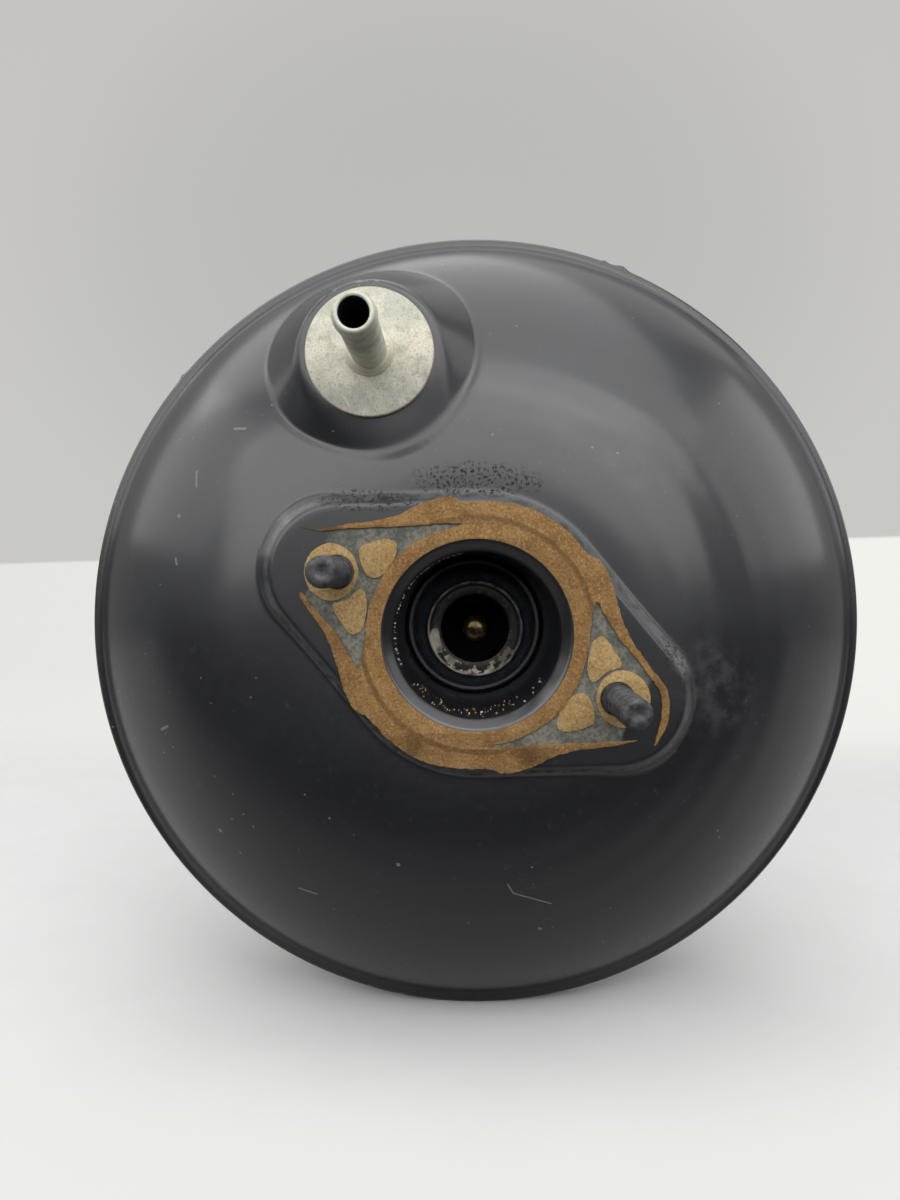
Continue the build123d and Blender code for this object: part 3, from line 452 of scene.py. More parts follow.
points = np.empty((len(rows), COLUMNS, 3))
for i, (r, depth) in enumerate(rows):
    points[i] = np.stack([r * np.cos(turns), depth - LENGTH, r * np.sin(turns)], axis=1)
number = np.arange(len(rows) * COLUMNS).reshape(len(rows), COLUMNS)
after = np.roll(number, -1, axis=1)
below = np.roll(number, -1, axis=0)
corner = np.roll(after, -1, axis=0)
quads = np.stack([number, below, corner, after], axis=2)
kept = np.ones((len(rows), COLUMNS), bool)
upper, lower = number[outer_window], number[outer_window + 1]
inner_lower, inner_upper = number[inner_window], number[inner_window + 1]
edges = []
for i in range(WINDOWS):
    first = i * COLUMNS // WINDOWS - WINDOW_COLUMNS // 2
    span = [(first + j) % COLUMNS for j in range(WINDOW_COLUMNS + 1)]
    kept[outer_window, span[:-1]] = False
    kept[inner_window, span[:-1]] = False
    for a, b in zip(span, span[1:]):
        edges.append((upper[a], inner_upper[a], inner_upper[b], upper[b]))
        edges.append((lower[a], lower[b], inner_lower[b], inner_lower[a]))
    for end in (span[0], span[-1]):
        edges.append((upper[end], lower[end], inner_lower[end], inner_upper[end]))
front_points = points.reshape(-1, 3) * MM
front_faces = [*quads[kept].tolist(), *[[int(n) for n in e] for e in edges]]


def closed(piece, sharp=35.0, merge=0.0):
    """Joins doubled points, turns every face outwards and shades it smooth between edges."""
    work = bmesh.new()
    work.from_mesh(piece.data)
    if merge:
        bmesh.ops.remove_doubles(work, verts=work.verts, dist=merge)
    bmesh.ops.recalc_face_normals(work, faces=work.faces)
    work.to_mesh(piece.data)
    work.free()
    piece.data.shade_smooth()
    piece.data.set_sharp_from_angle(angle=radians(sharp))
    return piece


def dress(piece, slot, finish, *nodes):
    """Gives a piece its finish and hides the nodes it stands for. The slot is not used."""
    piece.data.materials.clear()
    piece.data.materials.append(finish.material)
    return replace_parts(piece, *nodes) if nodes else piece


def fit(piece, body, slot, finish, *nodes):
    """Dresses a piece and lets it ride on its body."""
    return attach(dress(piece, slot, finish, *nodes), body)


def worn_paint(name):
    """Satin black paint, with a cloudy film that is lighter and rougher towards the top, orange
    peel and small pale specks. Gives back the finish, its coordinates, colour, roughness and relief."""
    paint = Finish(name, Coat_Weight=0.9, Coat_Roughness=0.20, Coat_IOR=1.55, IOR=1.55,
                   Specular_IOR_Level=0.75)
    place, x, y, z = paint.place()
    cloud = paint.noise(place, 26.0, 6.0, 0.6)
    grain = paint.noise(place, 420.0, 3.0, 0.6)
    fleck = paint.cells(place, 240.0)
    dust = cloud.step(0.35, 0.75) * 0.55 + 0.25
    # The film is lighter and rougher towards the top.
    dust = dust * (z.step(-0.06, 0.07) * 0.85 + 0.15)
    colour = paint.mix(dust * 0.8, (0.0050, 0.0056, 0.0075), (0.028, 0.031, 0.037))
    colour = paint.mix(grain.step(0.62, 0.80) * 0.18, colour, (0.16, 0.165, 0.17))
    speck = fleck.step(0.10, 0.05) * paint.noise(place, 40.0, 3.0).step(0.50, 0.62)
    colour = paint.mix(speck * 0.55, colour, (0.32, 0.32, 0.31))
    rough = 0.30 + dust * 0.20 + grain * 0.12
    wave = paint.noise(place, 34.0, 2.0, 0.5) + grain * 0.06
    return paint, (place, x, y, z), colour, rough, wave


paint, (place, x, y, z), colour, rough, wave = worn_paint("front_paint")
off_axis = x.reach(z)
torn = paint.noise(place, 160.0, 5.0, 0.65) - 0.5
fine = paint.noise(place, 900.0, 4.0, 0.6) - 0.5

# Bare grey metal shows on the pad between the bore and each stud, where the gasket tore.
pad = y.step(-0.1205, -0.1214)
along = abs(x * cos(STUD_TILT) + z * sin(STUD_TILT)) * 1000.0
across = abs(z * cos(STUD_TILT) - x * sin(STUD_TILT)) * 1000.0
wing = 19.0 - (along - 30.0) * 0.52 - across + torn * 2.0
ragged = along + torn * 9.0
bare = pad * wing.step(-0.6, 0.8) * ragged.step(11.0, 14.0) * ragged.step(47.5, 45.5)
bare = bare * off_axis.step(0.0262, 0.0266)
metal = paint.mix(torn.step(-0.10, 0.10), (0.115, 0.125, 0.105), (0.26, 0.25, 0.20))
metal = paint.mix(fine.step(-0.06, 0.10) * 0.55, metal, (0.06, 0.062, 0.055))

# The cup is oiled dark, and a painted highlight makes the pad's flank grey in patches.
oiled = off_axis.step(0.0262, 0.0250)
colour = paint.mix(oiled, colour, (0.012, 0.012, 0.014))
# Painted highlight on the pad's flank, broken up by noise.
flank = y.step(-0.1190, -0.1196) * y.step(-0.1214, -0.1207) * off_axis.step(0.030, 0.032)
flank_highlight = paint.noise(place, 300.0, 4.0).step(0.35, 0.60)
colour = paint.mix(flank * flank_highlight * 0.5, colour, (0.15, 0.155, 0.155))
colour = paint.mix(bare, colour, metal)

# Specks of dirt lie in three places round the pad, and thin scratches and chips on the dome.
spots = reduce(Value.most, [paint.blob(x, z, *spot, 0.6, torn * 2.5) for spot in (
    (0.0, 0.0415, 0.017, 0.0045), (0.052, -0.009, 0.006, 0.008), (-0.030, 0.036, 0.014, 0.003))])
pitted = spots * (1.0 - bare) * paint.noise(place, 1100.0, 3.0, 0.7).step(0.52, 0.60)
colour = paint.mix(pitted, colour, (0.016, 0.012, 0.010))
scratches = [((-0.0689, 0.0578), (-0.0651, 0.0576), 0.0005),
             ((-0.0803, 0.0461), (-0.0798, 0.0413), 0.0004),
             ((-0.0853, 0.0334), (-0.0851, 0.0330), 0.0008),
             ((-0.0856, 0.0210), (-0.0851, 0.0192), 0.0005),
             ((-0.0922, -0.0291), (-0.0896, -0.0278), 0.0006),
             ((-0.0749, -0.0584), (-0.0745, -0.0588), 0.0008),
             ((-0.0510, -0.0743), (-0.0457, -0.0756), 0.0004),
             ((-0.0218, -0.0637), (-0.0214, -0.0640), 0.0007),
             ((0.0087, -0.0695), (0.0103, -0.0724), 0.0003),
             ((0.0103, -0.0724), (0.0212, -0.0762), 0.0003),
             ((0.0181, -0.0849), (0.0186, -0.0853), 0.0007)]
chips = ((-0.0420, -0.1155), (-0.0338, -0.1181), (-0.0235, -0.1206))
marks = [paint.stroke(x, z, *scratch) for scratch in scratches]
marks += [paint.blob(x, z, *chip, 0.0011, 0.0006, 0.3, torn * 3.0) for chip in chips]
worn = reduce(Value.most, marks)
haze = paint.blob(x, z, 0.066, -0.014, 0.013, 0.012, 0.8, torn * 3.0)
haze = haze.most(paint.blob(x, z, 0.052, 0.046, 0.020, 0.007, 0.8, torn * 3.0) * 0.4)
haze = haze * paint.noise(place, 130.0, 5.0, 0.7).step(0.40, 0.66)
colour = paint.mix(haze * 0.30, colour, (0.16, 0.16, 0.17))
colour = paint.mix(worn * 0.55, colour, (0.34, 0.33, 0.31))
rough = (rough + worn * 0.2 - oiled * 0.08 + pitted * 0.5) * (1.0 - bare) + bare * 0.82
height = wave * (1.0 - bare) + bare * (torn * 0.9 + fine * 0.5) - worn * 0.4
paint.cover(colour, height, 0.35, 0.0006, Roughness=rough,
            Coat_Weight=(1.0 - bare) * (1.0 - pitted) * 0.9)

front = closed(plain_mesh("front_shell_pressing", front_points, front_faces), 40.0)
fit(front, "shell", "black_paint", paint, "front_shell")


def grown(piece, build, sizes, finish):
    """Runs a node tree over a piece and keeps the plain mesh that comes out of it."""
    tree = bpy.data.node_groups.new(piece.name + "_tree", "GeometryNodeTree")
    face = tree.interface
    face.new_socket("Geometry", in_out="INPUT", socket_type="NodeSocketGeometry")
    names = {}
    for label, value in sizes.items():
        kind = "NodeSocketInt" if isinstance(value, int) else "NodeSocketFloat"
        names[label] = face.new_socket(label, in_out="INPUT", socket_type=kind).identifier
    face.new_socket("Geometry", in_out="OUTPUT", socket_type="NodeSocketGeometry")
    graph = Graph(tree)
    start = tree.nodes.new("NodeGroupInput")
    given = {label: Value(graph, start.outputs[label]) for label in ("Geometry", *sizes)}
    made = build(graph, given)
    made = graph.add("GeometryNodeRealizeInstances", {}, {0: made})
    made = graph.add("GeometryNodeSetMaterial", {}, {0: made, "Material": finish.material})
    graph.give(tree.nodes.new("NodeGroupOutput"), {0: made})
    modifier = piece.modifiers.new("made", "NODES")
    modifier.node_group = tree
    for label, value in sizes.items():
        modifier[names[label]] = value
    view = bpy.context.evaluated_depsgraph_get()
    mesh = bpy.data.meshes.new_from_object(piece.evaluated_get(view))
    piece.modifiers.remove(modifier)
    piece.data = mesh
    return piece


def round_the_rim(graph, sizes):
    """Copies of the piece's own mesh, evenly round the centre line."""
    middle = graph.add("GeometryNodePoints", {}, {"Count": sizes["Count"]})
    turn = graph.add("GeometryNodeInputIndex", {}, {}) * 2 * pi / sizes["Count"]
    spin = graph.add("ShaderNodeCombineXYZ", {}, {"Y": turn})
    return graph.add("GeometryNodeInstanceOnPoints", {}, {
        "Points": middle, "Instance": sizes["Geometry"], "Rotation": spin})


TAB_REACH = 3.4
TAB_SPREAD = radians(7.0)
tab_points, tab_faces = [], []
steps = 8
for i in range(steps + 1):
    turn = TAB_SPREAD * (i / steps - 0.5)
    for r, depth in ((inner_r + 0.4, 57.4), (inner_r - TAB_REACH + 0.4, 57.4),
                     (inner_r - TAB_REACH, 57.8), (inner_r - TAB_REACH, 59.0),
                     (inner_r + 0.4, 59.0)):
        tab_points.append((r * cos(turn) * MM, (depth - LENGTH) * MM, r * sin(turn) * MM))
for i in range(steps):
    for j in range(5):
        k = (j + 1) % 5
        tab_faces.append((i * 5 + j, i * 5 + k, i * 5 + 5 + k, i * 5 + 5 + j))
tab_faces += [(0, 1, 2, 3, 4), tuple(steps * 5 + j for j in range(5))]
tabs = grown(plain_mesh("front_shell_tabs", tab_points, tab_faces), round_the_rim,
             {"Count": WINDOWS}, paint)
fit(closed(tabs), "shell", "black_paint", paint)


# Torn gasket: what is left of a paper gasket that the master cylinder was bolted down on. It
# lies round the bore and in strips along the pad's edges, torn from round the studs, where
# pale patches of its inner ply and a ring round each stud still stick to the metal.

def paper_finish(name, low, high, speck, crease):
    """Fibrous paper between two tones, with dark flecks, stains, and painted shade in a pressed crease round
    the bore.
    """
    made = Finish(name, Roughness=0.85, Specular_IOR_Level=0.3)
    place, x, y, z = made.place()
    blotch = made.noise(place, 130.0, 5.0, 0.65)
    fibre = made.noise(place, 1500.0, 3.0, 0.65)
    off_axis = x.reach(z) * 1000.0
    shade = made.mix(blotch.step(0.30, 0.70) * 0.6 + fibre * 0.4, low, high)
    shade = made.mix(fibre.step(0.54, 0.68) * 0.5, shade, speck)
    shade = made.mix(fibre.step(0.46, 0.34) * 0.45, shade, (0.10, 0.05, 0.02))
    bend = off_axis + blotch * 2.4
    # Painted shade in the crease round the bore; the stains beyond it are real.
    line = bend.step(31.4, 32.2) * bend.step(33.6, 32.8) * (blotch * 1.6 - 0.25)
    stain = made.noise(place, 55.0, 5.0, 0.6, 0.6).step(0.52, 0.68) * off_axis.step(29.0, 32.0)
    shade = made.mix(line.most(stain * 0.7) * crease, shade, (0.085, 0.043, 0.020))
    made.cover(shade, fibre * 0.7 + blotch - line * 0.6, 0.6, 0.0004)
    return made


gasket = paper_finish("gasket_paper", (0.235, 0.118, 0.038), (0.46, 0.272, 0.105),
                      (0.62, 0.44, 0.22), 0.85)
inner_ply = paper_finish("gasket_inner_ply", (0.42, 0.26, 0.095), (0.60, 0.42, 0.19),
                         (0.70, 0.55, 0.32), 0.0)
GASKET_BORE_R = 25.8
SHEET_THICK = 0.50
CURL_THICK = 0.56
PLY_THICK = 0.30
RING_THICK = 0.36
RING_SHIFT = 1.5


def smooth_path(marks, seed, wander=0.10, between=7):
    """Closed line through a few marks, with small torn irregularities, in millimetres."""
    wild = np.random.default_rng(seed)
    marks = np.array(marks, float)
    count = len(marks)
    line = []
    for i in range(count):
        a, b, c, d = (marks[(i + j) % count] for j in (-1, 0, 1, 2))
        for t in np.arange(between) / between:
            line.append(0.5 * (2 * b + (c - a) * t + (2 * a - 5 * b + 4 * c - d) * t ** 2
                               + (3 * b - a - 3 * c + d) * t ** 3))
    return np.array(line) + wild.normal(0, wander, (len(line), 2))


def circle_path(x, z, radius, count):
    at = np.arange(count) * 2 * pi / count
    return np.stack([x + radius * np.cos(at), z + radius * np.sin(at)], axis=1)


def paper(name, outlines, thick):
    """Flat sheet with bevelled edges inside some outlines and round the holes in them."""
    curve = bpy.data.curves.new(name, "CURVE")
    curve.dimensions = "2D"
    curve.fill_mode = "BOTH"
    curve.extrude = thick * 0.34 * MM
    curve.bevel_depth = thick * 0.16 * MM
    curve.bevel_resolution = 1
    for outline in outlines:
        spline = curve.splines.new("POLY")
        spline.points.add(len(outline) - 1)
        for point, (x, z) in zip(spline.points, outline):
            point.co = (x * MM, z * MM, 0.0, 1.0)
        spline.use_cyclic_u = True
    flat = bpy.data.objects.new(name + "_outline", curve)
    bpy.context.collection.objects.link(flat)
    view = bpy.context.evaluated_depsgraph_get()
    mesh = bpy.data.meshes.new_from_object(flat.evaluated_get(view))
    bpy.data.objects.remove(flat)
    for v in mesh.vertices:
        v.co = (v.co.x, -LENGTH * MM - thick / 2 * MM - v.co.z, v.co.y)
    made = bpy.data.objects.new(name, mesh)
    bpy.context.collection.objects.link(made)
    return closed(made, 40.0, 1e-6)


outer_edge = [(-42.9, 27.9), (-34.3, 29.6), (-26.6, 30.6), (-20.5, 32.2), (-15.8, 34.6),
              (-11.0, 36.2), (-6.6, 36.8), (-3.6, 35.5), (2.4, 35.6), (10.1, 34.8), (17.0, 32.4),
              (23.6, 27.8), (28.8, 22.1), (32.7, 19.6), (35.3, 15.0), (37.0, 9.2), (38.6, 4.0),
              (41.2, -1.6), (44.6, -6.6), (47.2, -10.6)]
right_strip = [(46.2, -11.0), (42.4, -6.0), (38.0, -1.0), (34.6, 4.4), (31.6, 9.0)]
ring_side = [(30.2, 3.0), (28.9, -6.4), (26.6, -13.0), (22.4, -19.6), (17.1, -24.2),
             (10.4, -27.6), (3.6, -29.6)]
lower_strip = [(9.0, -29.8), (20.3, -29.0), (31.9, -28.6)]
half = outer_edge + right_strip + ring_side + lower_strip
whole = smooth_path(half + [(-x, -z) for x, z in half], 11)
main_sheet = paper("torn_gasket", [whole, circle_path(0, 0, GASKET_BORE_R, 240)], SHEET_THICK)
fit(main_sheet, "shell", "gasket_paper", gasket, "flange_gasket")

curl = smooth_path([(45.2, -7.9), (49.6, -13.0), (51.0, -17.4), (50.4, -23.6), (47.2, -29.4),
                    (48.6, -24.0), (49.2, -18.0), (48.0, -13.6), (44.6, -9.2)], 12)
fit(paper("torn_gasket_curl", [curl], CURL_THICK), "shell", "gasket_paper", gasket)

upper_patch = [(-31.4, 22.4), (-28.6, 24.6), (-24.0, 25.6), (-21.4, 24.2), (-22.8, 18.6),
               (-26.6, 15.6), (-29.6, 16.4)]
lower_patch = [(-38.4, 8.0), (-34.6, 9.6), (-31.0, 12.4), (-29.4, 9.0), (-30.6, 2.0),
               (-33.6, 0.4), (-36.6, 4.2)]
ply = []
for seed, patch in enumerate((upper_patch, lower_patch)):
    ply.append(smooth_path(patch, 40 + seed, 0.05))
    ply.append(smooth_path([(-x, -z) for x, z in patch], 50 + seed, 0.05))
patches = paper("gasket_inner_ply_patches", ply, PLY_THICK)
fit(patches, "shell", "gasket_paper", inner_ply)

ring_radii = (7.2, 7.3, 7.7, 7.4, 7.1, 7.3, 7.6, 7.2)
stud_marks = []
rings = []
for side in (-1, 1):
    x, z = side * STUD_SPACING / 2 * cos(STUD_TILT), side * STUD_SPACING / 2 * sin(STUD_TILT)
    stud_marks.append((x, z))
    ring = [(x + side * RING_SHIFT + r * cos(t), z + r * sin(t))
            for r, t in zip(ring_radii, np.arange(8) * pi / 4)]
    rings += [smooth_path(ring, 60 + side, 0.03), circle_path(x, z, 4.7, 60)]
fit(paper("gasket_stud_rings", rings, RING_THICK), "shell", "gasket_paper", inner_ply)


# Master cylinder studs: two M8 steel studs, phosphated dark grey, pressed through the pad
# and the reinforcement plate behind it. Each has a rolled thread, a chamfer and a centre mark.

STUD_R = 4.0
STUD_LENGTH = 26.4
STUD_ROOT_R = 3.45
STUD_PITCH = 1.25

phosphate = Finish("phosphated_steel", Metallic=0.5)
place, x, y, z = phosphate.place()
mottle = phosphate.noise(place, 500.0, 4.0, 0.6)
shade = phosphate.mix(mottle.step(0.35, 0.65), (0.055, 0.057, 0.060), (0.135, 0.135, 0.138))
grain = phosphate.noise(place, 1800.0).step(0.62, 0.74)
shade = phosphate.mix(grain * 0.4, shade, (0.26, 0.25, 0.22))
phosphate.cover(shade, mottle, 0.3, 0.0001, Roughness=mottle * 0.3 + 0.32)


def turned(name, profile, columns, sharp, x=0.0, z=0.0):
    """Solid turned about a line along y, from its section in (radius, y) in millimetres."""
    at = np.arange(columns) * 2 * pi / columns
    points = np.concatenate([np.stack([x + r * np.cos(at), y + 0 * at, z + r * np.sin(at)], axis=1)
                             for r, y in profile]) * MM
    faces = []
    for i in range(len(profile)):
        j = (i + 1) % len(profile)
        for k in range(columns):
            m = (k + 1) % columns
            faces.append((i * columns + k, j * columns + k, j * columns + m, i * columns + m))
    return closed(plain_mesh(name, points, faces), sharp)


def cut_thread(graph, sizes):
    """Cuts a winding groove into a round rod between two heights, down to the root radius."""
    x, y, z = graph.parts(graph.add("GeometryNodeInputPosition", {}, {}))
    wave = y.maths("PINGPONG", y / sizes["Pitch"] - x.maths("ARCTAN2", z, x) / (2 * pi), 0.5)
    ridge = (wave * 2.7 - 0.2).most(0.0).least(1.0)
    root = sizes["Root radius"]
    inside = y.maths("GREATER_THAN", y, sizes["Start"]) * y.maths("LESS_THAN", y, sizes["End"])
    cut = (ridge * (sizes["Crest radius"] - root) + root) * inside + (1.0 - inside)
    shrink = x.reach(z).least(cut) / x.reach(z).most(0.00001)
    moved = graph.add("ShaderNodeCombineXYZ", {}, {"X": x * shrink, "Y": y, "Z": z * shrink})
    return graph.add("GeometryNodeSetPosition", {}, {
        "Geometry": sizes["Geometry"], "Position": moved})


def threaded_rod(name, profile, start, end, finish, places):
    """A turned rod with a rolled M8 thread between two heights, at each of some places."""
    side = [p for p in profile if p[1] < start]
    side += [(STUD_R, y) for y in np.arange(start, end, STUD_PITCH / 9)]
    side += [p for p in profile if p[1] >= end]
    rod = turned(name, side, 60, 30.0)
    grown(rod, cut_thread, {"Crest radius": STUD_R * MM, "Root radius": STUD_ROOT_R * MM,
                            "Pitch": STUD_PITCH * MM, "Start": (start - 0.01) * MM,
                            "End": (end + 0.01) * MM}, finish)
    points = np.array([v.co for v in rod.data.vertices])
    faces = [tuple(f.vertices) for f in rod.data.polygons]
    bpy.data.objects.remove(rod)
    rods = np.concatenate([points + (x * MM, 0.0, z * MM) for x, z in places])
    sides = [[n + i * len(points) for n in face] for i in range(len(places)) for face in faces]
    return closed(plain_mesh(name, rods, sides), 30.0)


TIP_Y = -STUD_LENGTH - LENGTH
stud_side = [(0.01, TIP_Y + 0.45), (0.7, TIP_Y + 0.4), (1.5, TIP_Y + 0.1), (1.9, TIP_Y),
             (2.9, TIP_Y), (3.3, TIP_Y + 0.15), (3.7, TIP_Y + 0.6), (3.95, -2.2 - LENGTH),
             (3.98, -LENGTH - 0.02), (4.6, -LENGTH), (4.6, 4.6 - LENGTH), (7.0, 4.6 - LENGTH),
             (7.0, 7.1 - LENGTH), (0.01, 7.1 - LENGTH)]
studs = threaded_rod("master_cylinder_studs_rolled", stud_side, TIP_Y + 0.9, -3.4 - LENGTH,
                     phosphate, stud_marks)
fit(studs, "shell", "stud_steel", phosphate, "master_cylinder_studs")


# Hose disc and nipple: a zinc-plated steel disc welded on the boss, with a short tube through
# it. The tube has a bead near its mouth and a weld ring at its root, and takes the vacuum hose.

NIPPLE_X = BOSS_REACH * sin(BOSS_TURN)
NIPPLE_Z = BOSS_REACH * cos(BOSS_TURN)
DISC_R = 17.3
DISC_THICK = 1.5
DISC_TOP = BOSS_TOP_DEPTH - DISC_THICK - LENGTH
DISC_BACK = DISC_TOP + DISC_THICK
NIPPLE_TIP = DISC_TOP - 34.6

zinc = Finish("plated_disc", Metallic=0.25)
place, x, y, z = zinc.place()
cloud = zinc.noise(place, 110.0, 6.0, 0.65)
pit = zinc.noise(place, 1300.0, 3.0, 0.6)
shade = zinc.mix(cloud.step(0.38, 0.64), (0.64, 0.63, 0.53), (0.92, 0.87, 0.72))
shade = zinc.mix(zinc.noise(place, 45.0, 3.0).step(0.50, 0.70) * 0.5, shade, (0.78, 0.66, 0.42))
grain = zinc.noise(place, 420.0, 5.0, 0.7)
shade = zinc.mix(grain.step(0.50, 0.66) * 0.5, shade, (0.40, 0.37, 0.28))
pores = zinc.noise(place, 1700.0, 3.0, 0.7)
shade = zinc.mix(pores.step(0.50, 0.62) * 0.40, shade, (0.34, 0.31, 0.24))
shade = zinc.mix(pit.step(0.60, 0.72) * 0.8, shade, (0.20, 0.16, 0.10))
mark = zinc.stroke(x, z, (-0.0356, 0.0638), (-0.0341, 0.0612), 0.0004)
shade = zinc.mix(mark, shade, (0.80, 0.79, 0.76))
zinc.cover(shade, pit * 0.6 + cloud, 0.35, 0.0002, Roughness=cloud * 0.25 + 0.34)
disc_side = [(5.0, DISC_TOP), (DISC_R - 0.45, DISC_TOP), (DISC_R - 0.12, DISC_TOP + 0.13),
             (DISC_R, DISC_TOP + 0.45), (DISC_R, DISC_BACK), (5.0, DISC_BACK)]
disc = turned("hose_disc", disc_side, 160, 50.0, NIPPLE_X, NIPPLE_Z)
fit(disc, "shell", "zinc", zinc, "vacuum_disc")

tube = Finish("plated_nipple", Metallic=0.2)
place, x, y, z = tube.place()
cloud = tube.noise(place, 180.0, 5.0, 0.6)
drawn = tube.noise(place, 1200.0, 3.0, 0.6)
shade = tube.mix(cloud.step(0.35, 0.65), (0.62, 0.63, 0.50), (0.90, 0.90, 0.74))
shade = tube.mix(y.step(-0.1230, -0.1215), shade, (0.90, 0.84, 0.66))
shade = tube.mix(drawn.step(0.60, 0.72) * 0.5, shade, (0.12, 0.11, 0.08))
# Painted shade: the inside of the tube, near its axis, is dark navy.
from_axis = (x - NIPPLE_X * MM).reach(z - NIPPLE_Z * MM)
shade = tube.mix(from_axis.step(0.0038, 0.0036), shade, (0.020, 0.025, 0.034))
tube.cover(shade, drawn, 0.25, 0.0001, Roughness=cloud * 0.3 + 0.28)
tube_side = [(r, NIPPLE_TIP + down) for r, down in (
    (3.6, 0.3), (3.9, 0.0), (4.5, 0.0), (4.85, 0.4), (4.9, 1.4), (5.15, 2.3), (5.38, 2.7),
    (5.4, 3.2), (5.15, 3.9), (4.72, 4.4), (4.70, 4.9), (4.9, 5.3))]
tube_side += [(r, DISC_TOP + down) for r, down in (
    (4.9, -1.9), (5.3, -1.85), (5.9, -1.5), (6.0, -1.15), (5.8, -0.9), (6.4, -0.75),
    (6.6, -0.4), (6.5, 0.0), (4.9, 0.0), (4.9, 7.0), (3.6, 7.0))]
nipple = turned("hose_nipple", tube_side, 128, 50.0, NIPPLE_X, NIPPLE_Z)
fit(nipple, "shell", "nipple_zinc", tube, "vacuum_nipple")


# Front seal: a moulded slate-blue rubber seal in the cup's floor. Its cone rises round the
# output rod to a flat nose with a thin ridge, and old grease and flakes lie on it.

seal = Finish("seal_rubber", Specular_IOR_Level=0.35)
place, x, y, z = seal.place()
off_axis = x.reach(z)
smear = seal.noise(place, 190.0, 5.0, 0.65)
grime = seal.noise(place, 900.0, 4.0, 0.6)
shade = seal.mix(smear.step(0.36, 0.66), (0.13, 0.15, 0.20), (0.26, 0.29, 0.36))
grease = off_axis.step(0.0160, 0.0145) * (smear * 0.5 + 0.75)
shade = seal.mix(grease * 0.95, shade, (0.018, 0.015, 0.012))
# Painted shade: the seal's hole and the faces behind its nose, round the rod, are near-black.
behind = y.step(-0.0880, -0.0850) * off_axis.step(0.0150, 0.0145)
shade = seal.mix(off_axis.step(0.0112, 0.0104).most(behind), shade, (0.004, 0.004, 0.004))
ridge = off_axis.step(0.0136, 0.0139) * off_axis.step(0.0146, 0.0142) * smear.step(0.38, 0.60)
shade = seal.mix(ridge * 0.8, shade, (0.42, 0.41, 0.38))
nose = off_axis.step(0.0108, 0.0113) * off_axis.step(0.0141, 0.0136) * y.step(-0.0885, -0.0895)
flakes = z.step(-0.0035, -0.0065) * seal.noise(place, 330.0, 3.0, 0.6).step(0.50, 0.54)
flakes = flakes.most(seal.blob(x, z, -0.0119, -0.0035, 0.0020, 0.0036, 0.25, grime - 0.5))
dried = seal.mix(smear.step(0.4, 0.6), (0.20, 0.16, 0.11), (0.62, 0.56, 0.46))
shade = seal.mix(nose * flakes, shade, dried)
# Painted highlight: a thin bluish-white line round the seal's outer rim.
edge = off_axis.step(0.0196, 0.0200) * off_axis.step(0.0212, 0.0207)
shade = seal.mix(edge * 0.9, shade, (0.85, 0.87, 0.92))
shade = seal.mix(grime.step(0.60, 0.72) * 0.55, shade, (0.26, 0.20, 0.13))
seal.cover(shade, grime + smear, 0.5, 0.0003, Roughness=0.62 - grease * 0.30)
NOSE = 30.8 - LENGTH
FLOOR = CUP_DEPTH - LENGTH
seal_side = [(10.3, NOSE + 0.9), (10.9, NOSE + 0.7), (12.8, NOSE + 0.8), (13.3, NOSE + 0.3),
             (13.7, NOSE), (14.2, NOSE), (14.6, NOSE + 0.4), (14.9, NOSE + 1.2),
             (17.0, NOSE + 7.0), (19.4, FLOOR - 5.4), (20.2, FLOOR - 3.2), (20.8, FLOOR - 2.7),
             (21.0, FLOOR - 2.4), (21.0, FLOOR), (16.95, FLOOR), (16.95, FLOOR + 1.65),
             (18.7, FLOOR + 1.65), (17.9, FLOOR + 3.3), (15.3, FLOOR + 3.3), (15.3, FLOOR - 2.6),
             (12.1, NOSE + 4.6), (10.3, NOSE + 3.1)]
fit(turned("cup_seal", seal_side, 180, 45.0), "shell", "seal_rubber", seal, "front_seal")


# Cup dirt: pale crystals and golden flakes of old brake fluid that stick to the wall of the
# cup, just inside its mouth and along its bottom.

def strewn(graph, sizes):
    """Copies of a small crumb, at random turns, sizes and places on the cup's wall."""
    def chance(low, high, seed):
        return graph.add("FunctionNodeRandomValue", {}, {2: low, 3: high, "Seed": seed}, 1)

    def chances(low, high, seed):
        return graph.add("FunctionNodeRandomValue", {"data_type": "FLOAT_VECTOR"},
                         {0: (low,) * 3, 1: (high,) * 3, "Seed": seed})

    turn = chance(sizes["First turn"], sizes["Last turn"], 1)
    spot = graph.add("ShaderNodeCombineXYZ", {}, {
        "X": sizes["Radius"] * turn.maths("COSINE", turn),
        "Y": chance(sizes["Least depth"], sizes["Most depth"], 2),
        "Z": sizes["Radius"] * turn.maths("SINE", turn)})
    many = graph.add("GeometryNodePoints", {}, {"Count": sizes["Count"], "Position": spot})
    return graph.add("GeometryNodeInstanceOnPoints", {}, {
        "Points": many, "Instance": sizes["Geometry"], "Rotation": chances(0, 6.28, 3),
        "Scale": chances(0.4, 1.5, 4)})


def dried_fluid(name, rough, scale, low, high):
    made = Finish(name, Roughness=rough)
    cloud = made.noise(made.place()[0], scale)
    made.give(made.shader, {"Base Color": made.mix(cloud.step(0.4, 0.6), low, high)})
    return made


crystal = dried_fluid("fluid_crystals", 0.25, 700.0, (0.52, 0.50, 0.45), (0.90, 0.88, 0.82))
amber = dried_fluid("fluid_flakes", 0.30, 500.0, (0.16, 0.07, 0.02), (0.72, 0.45, 0.17))

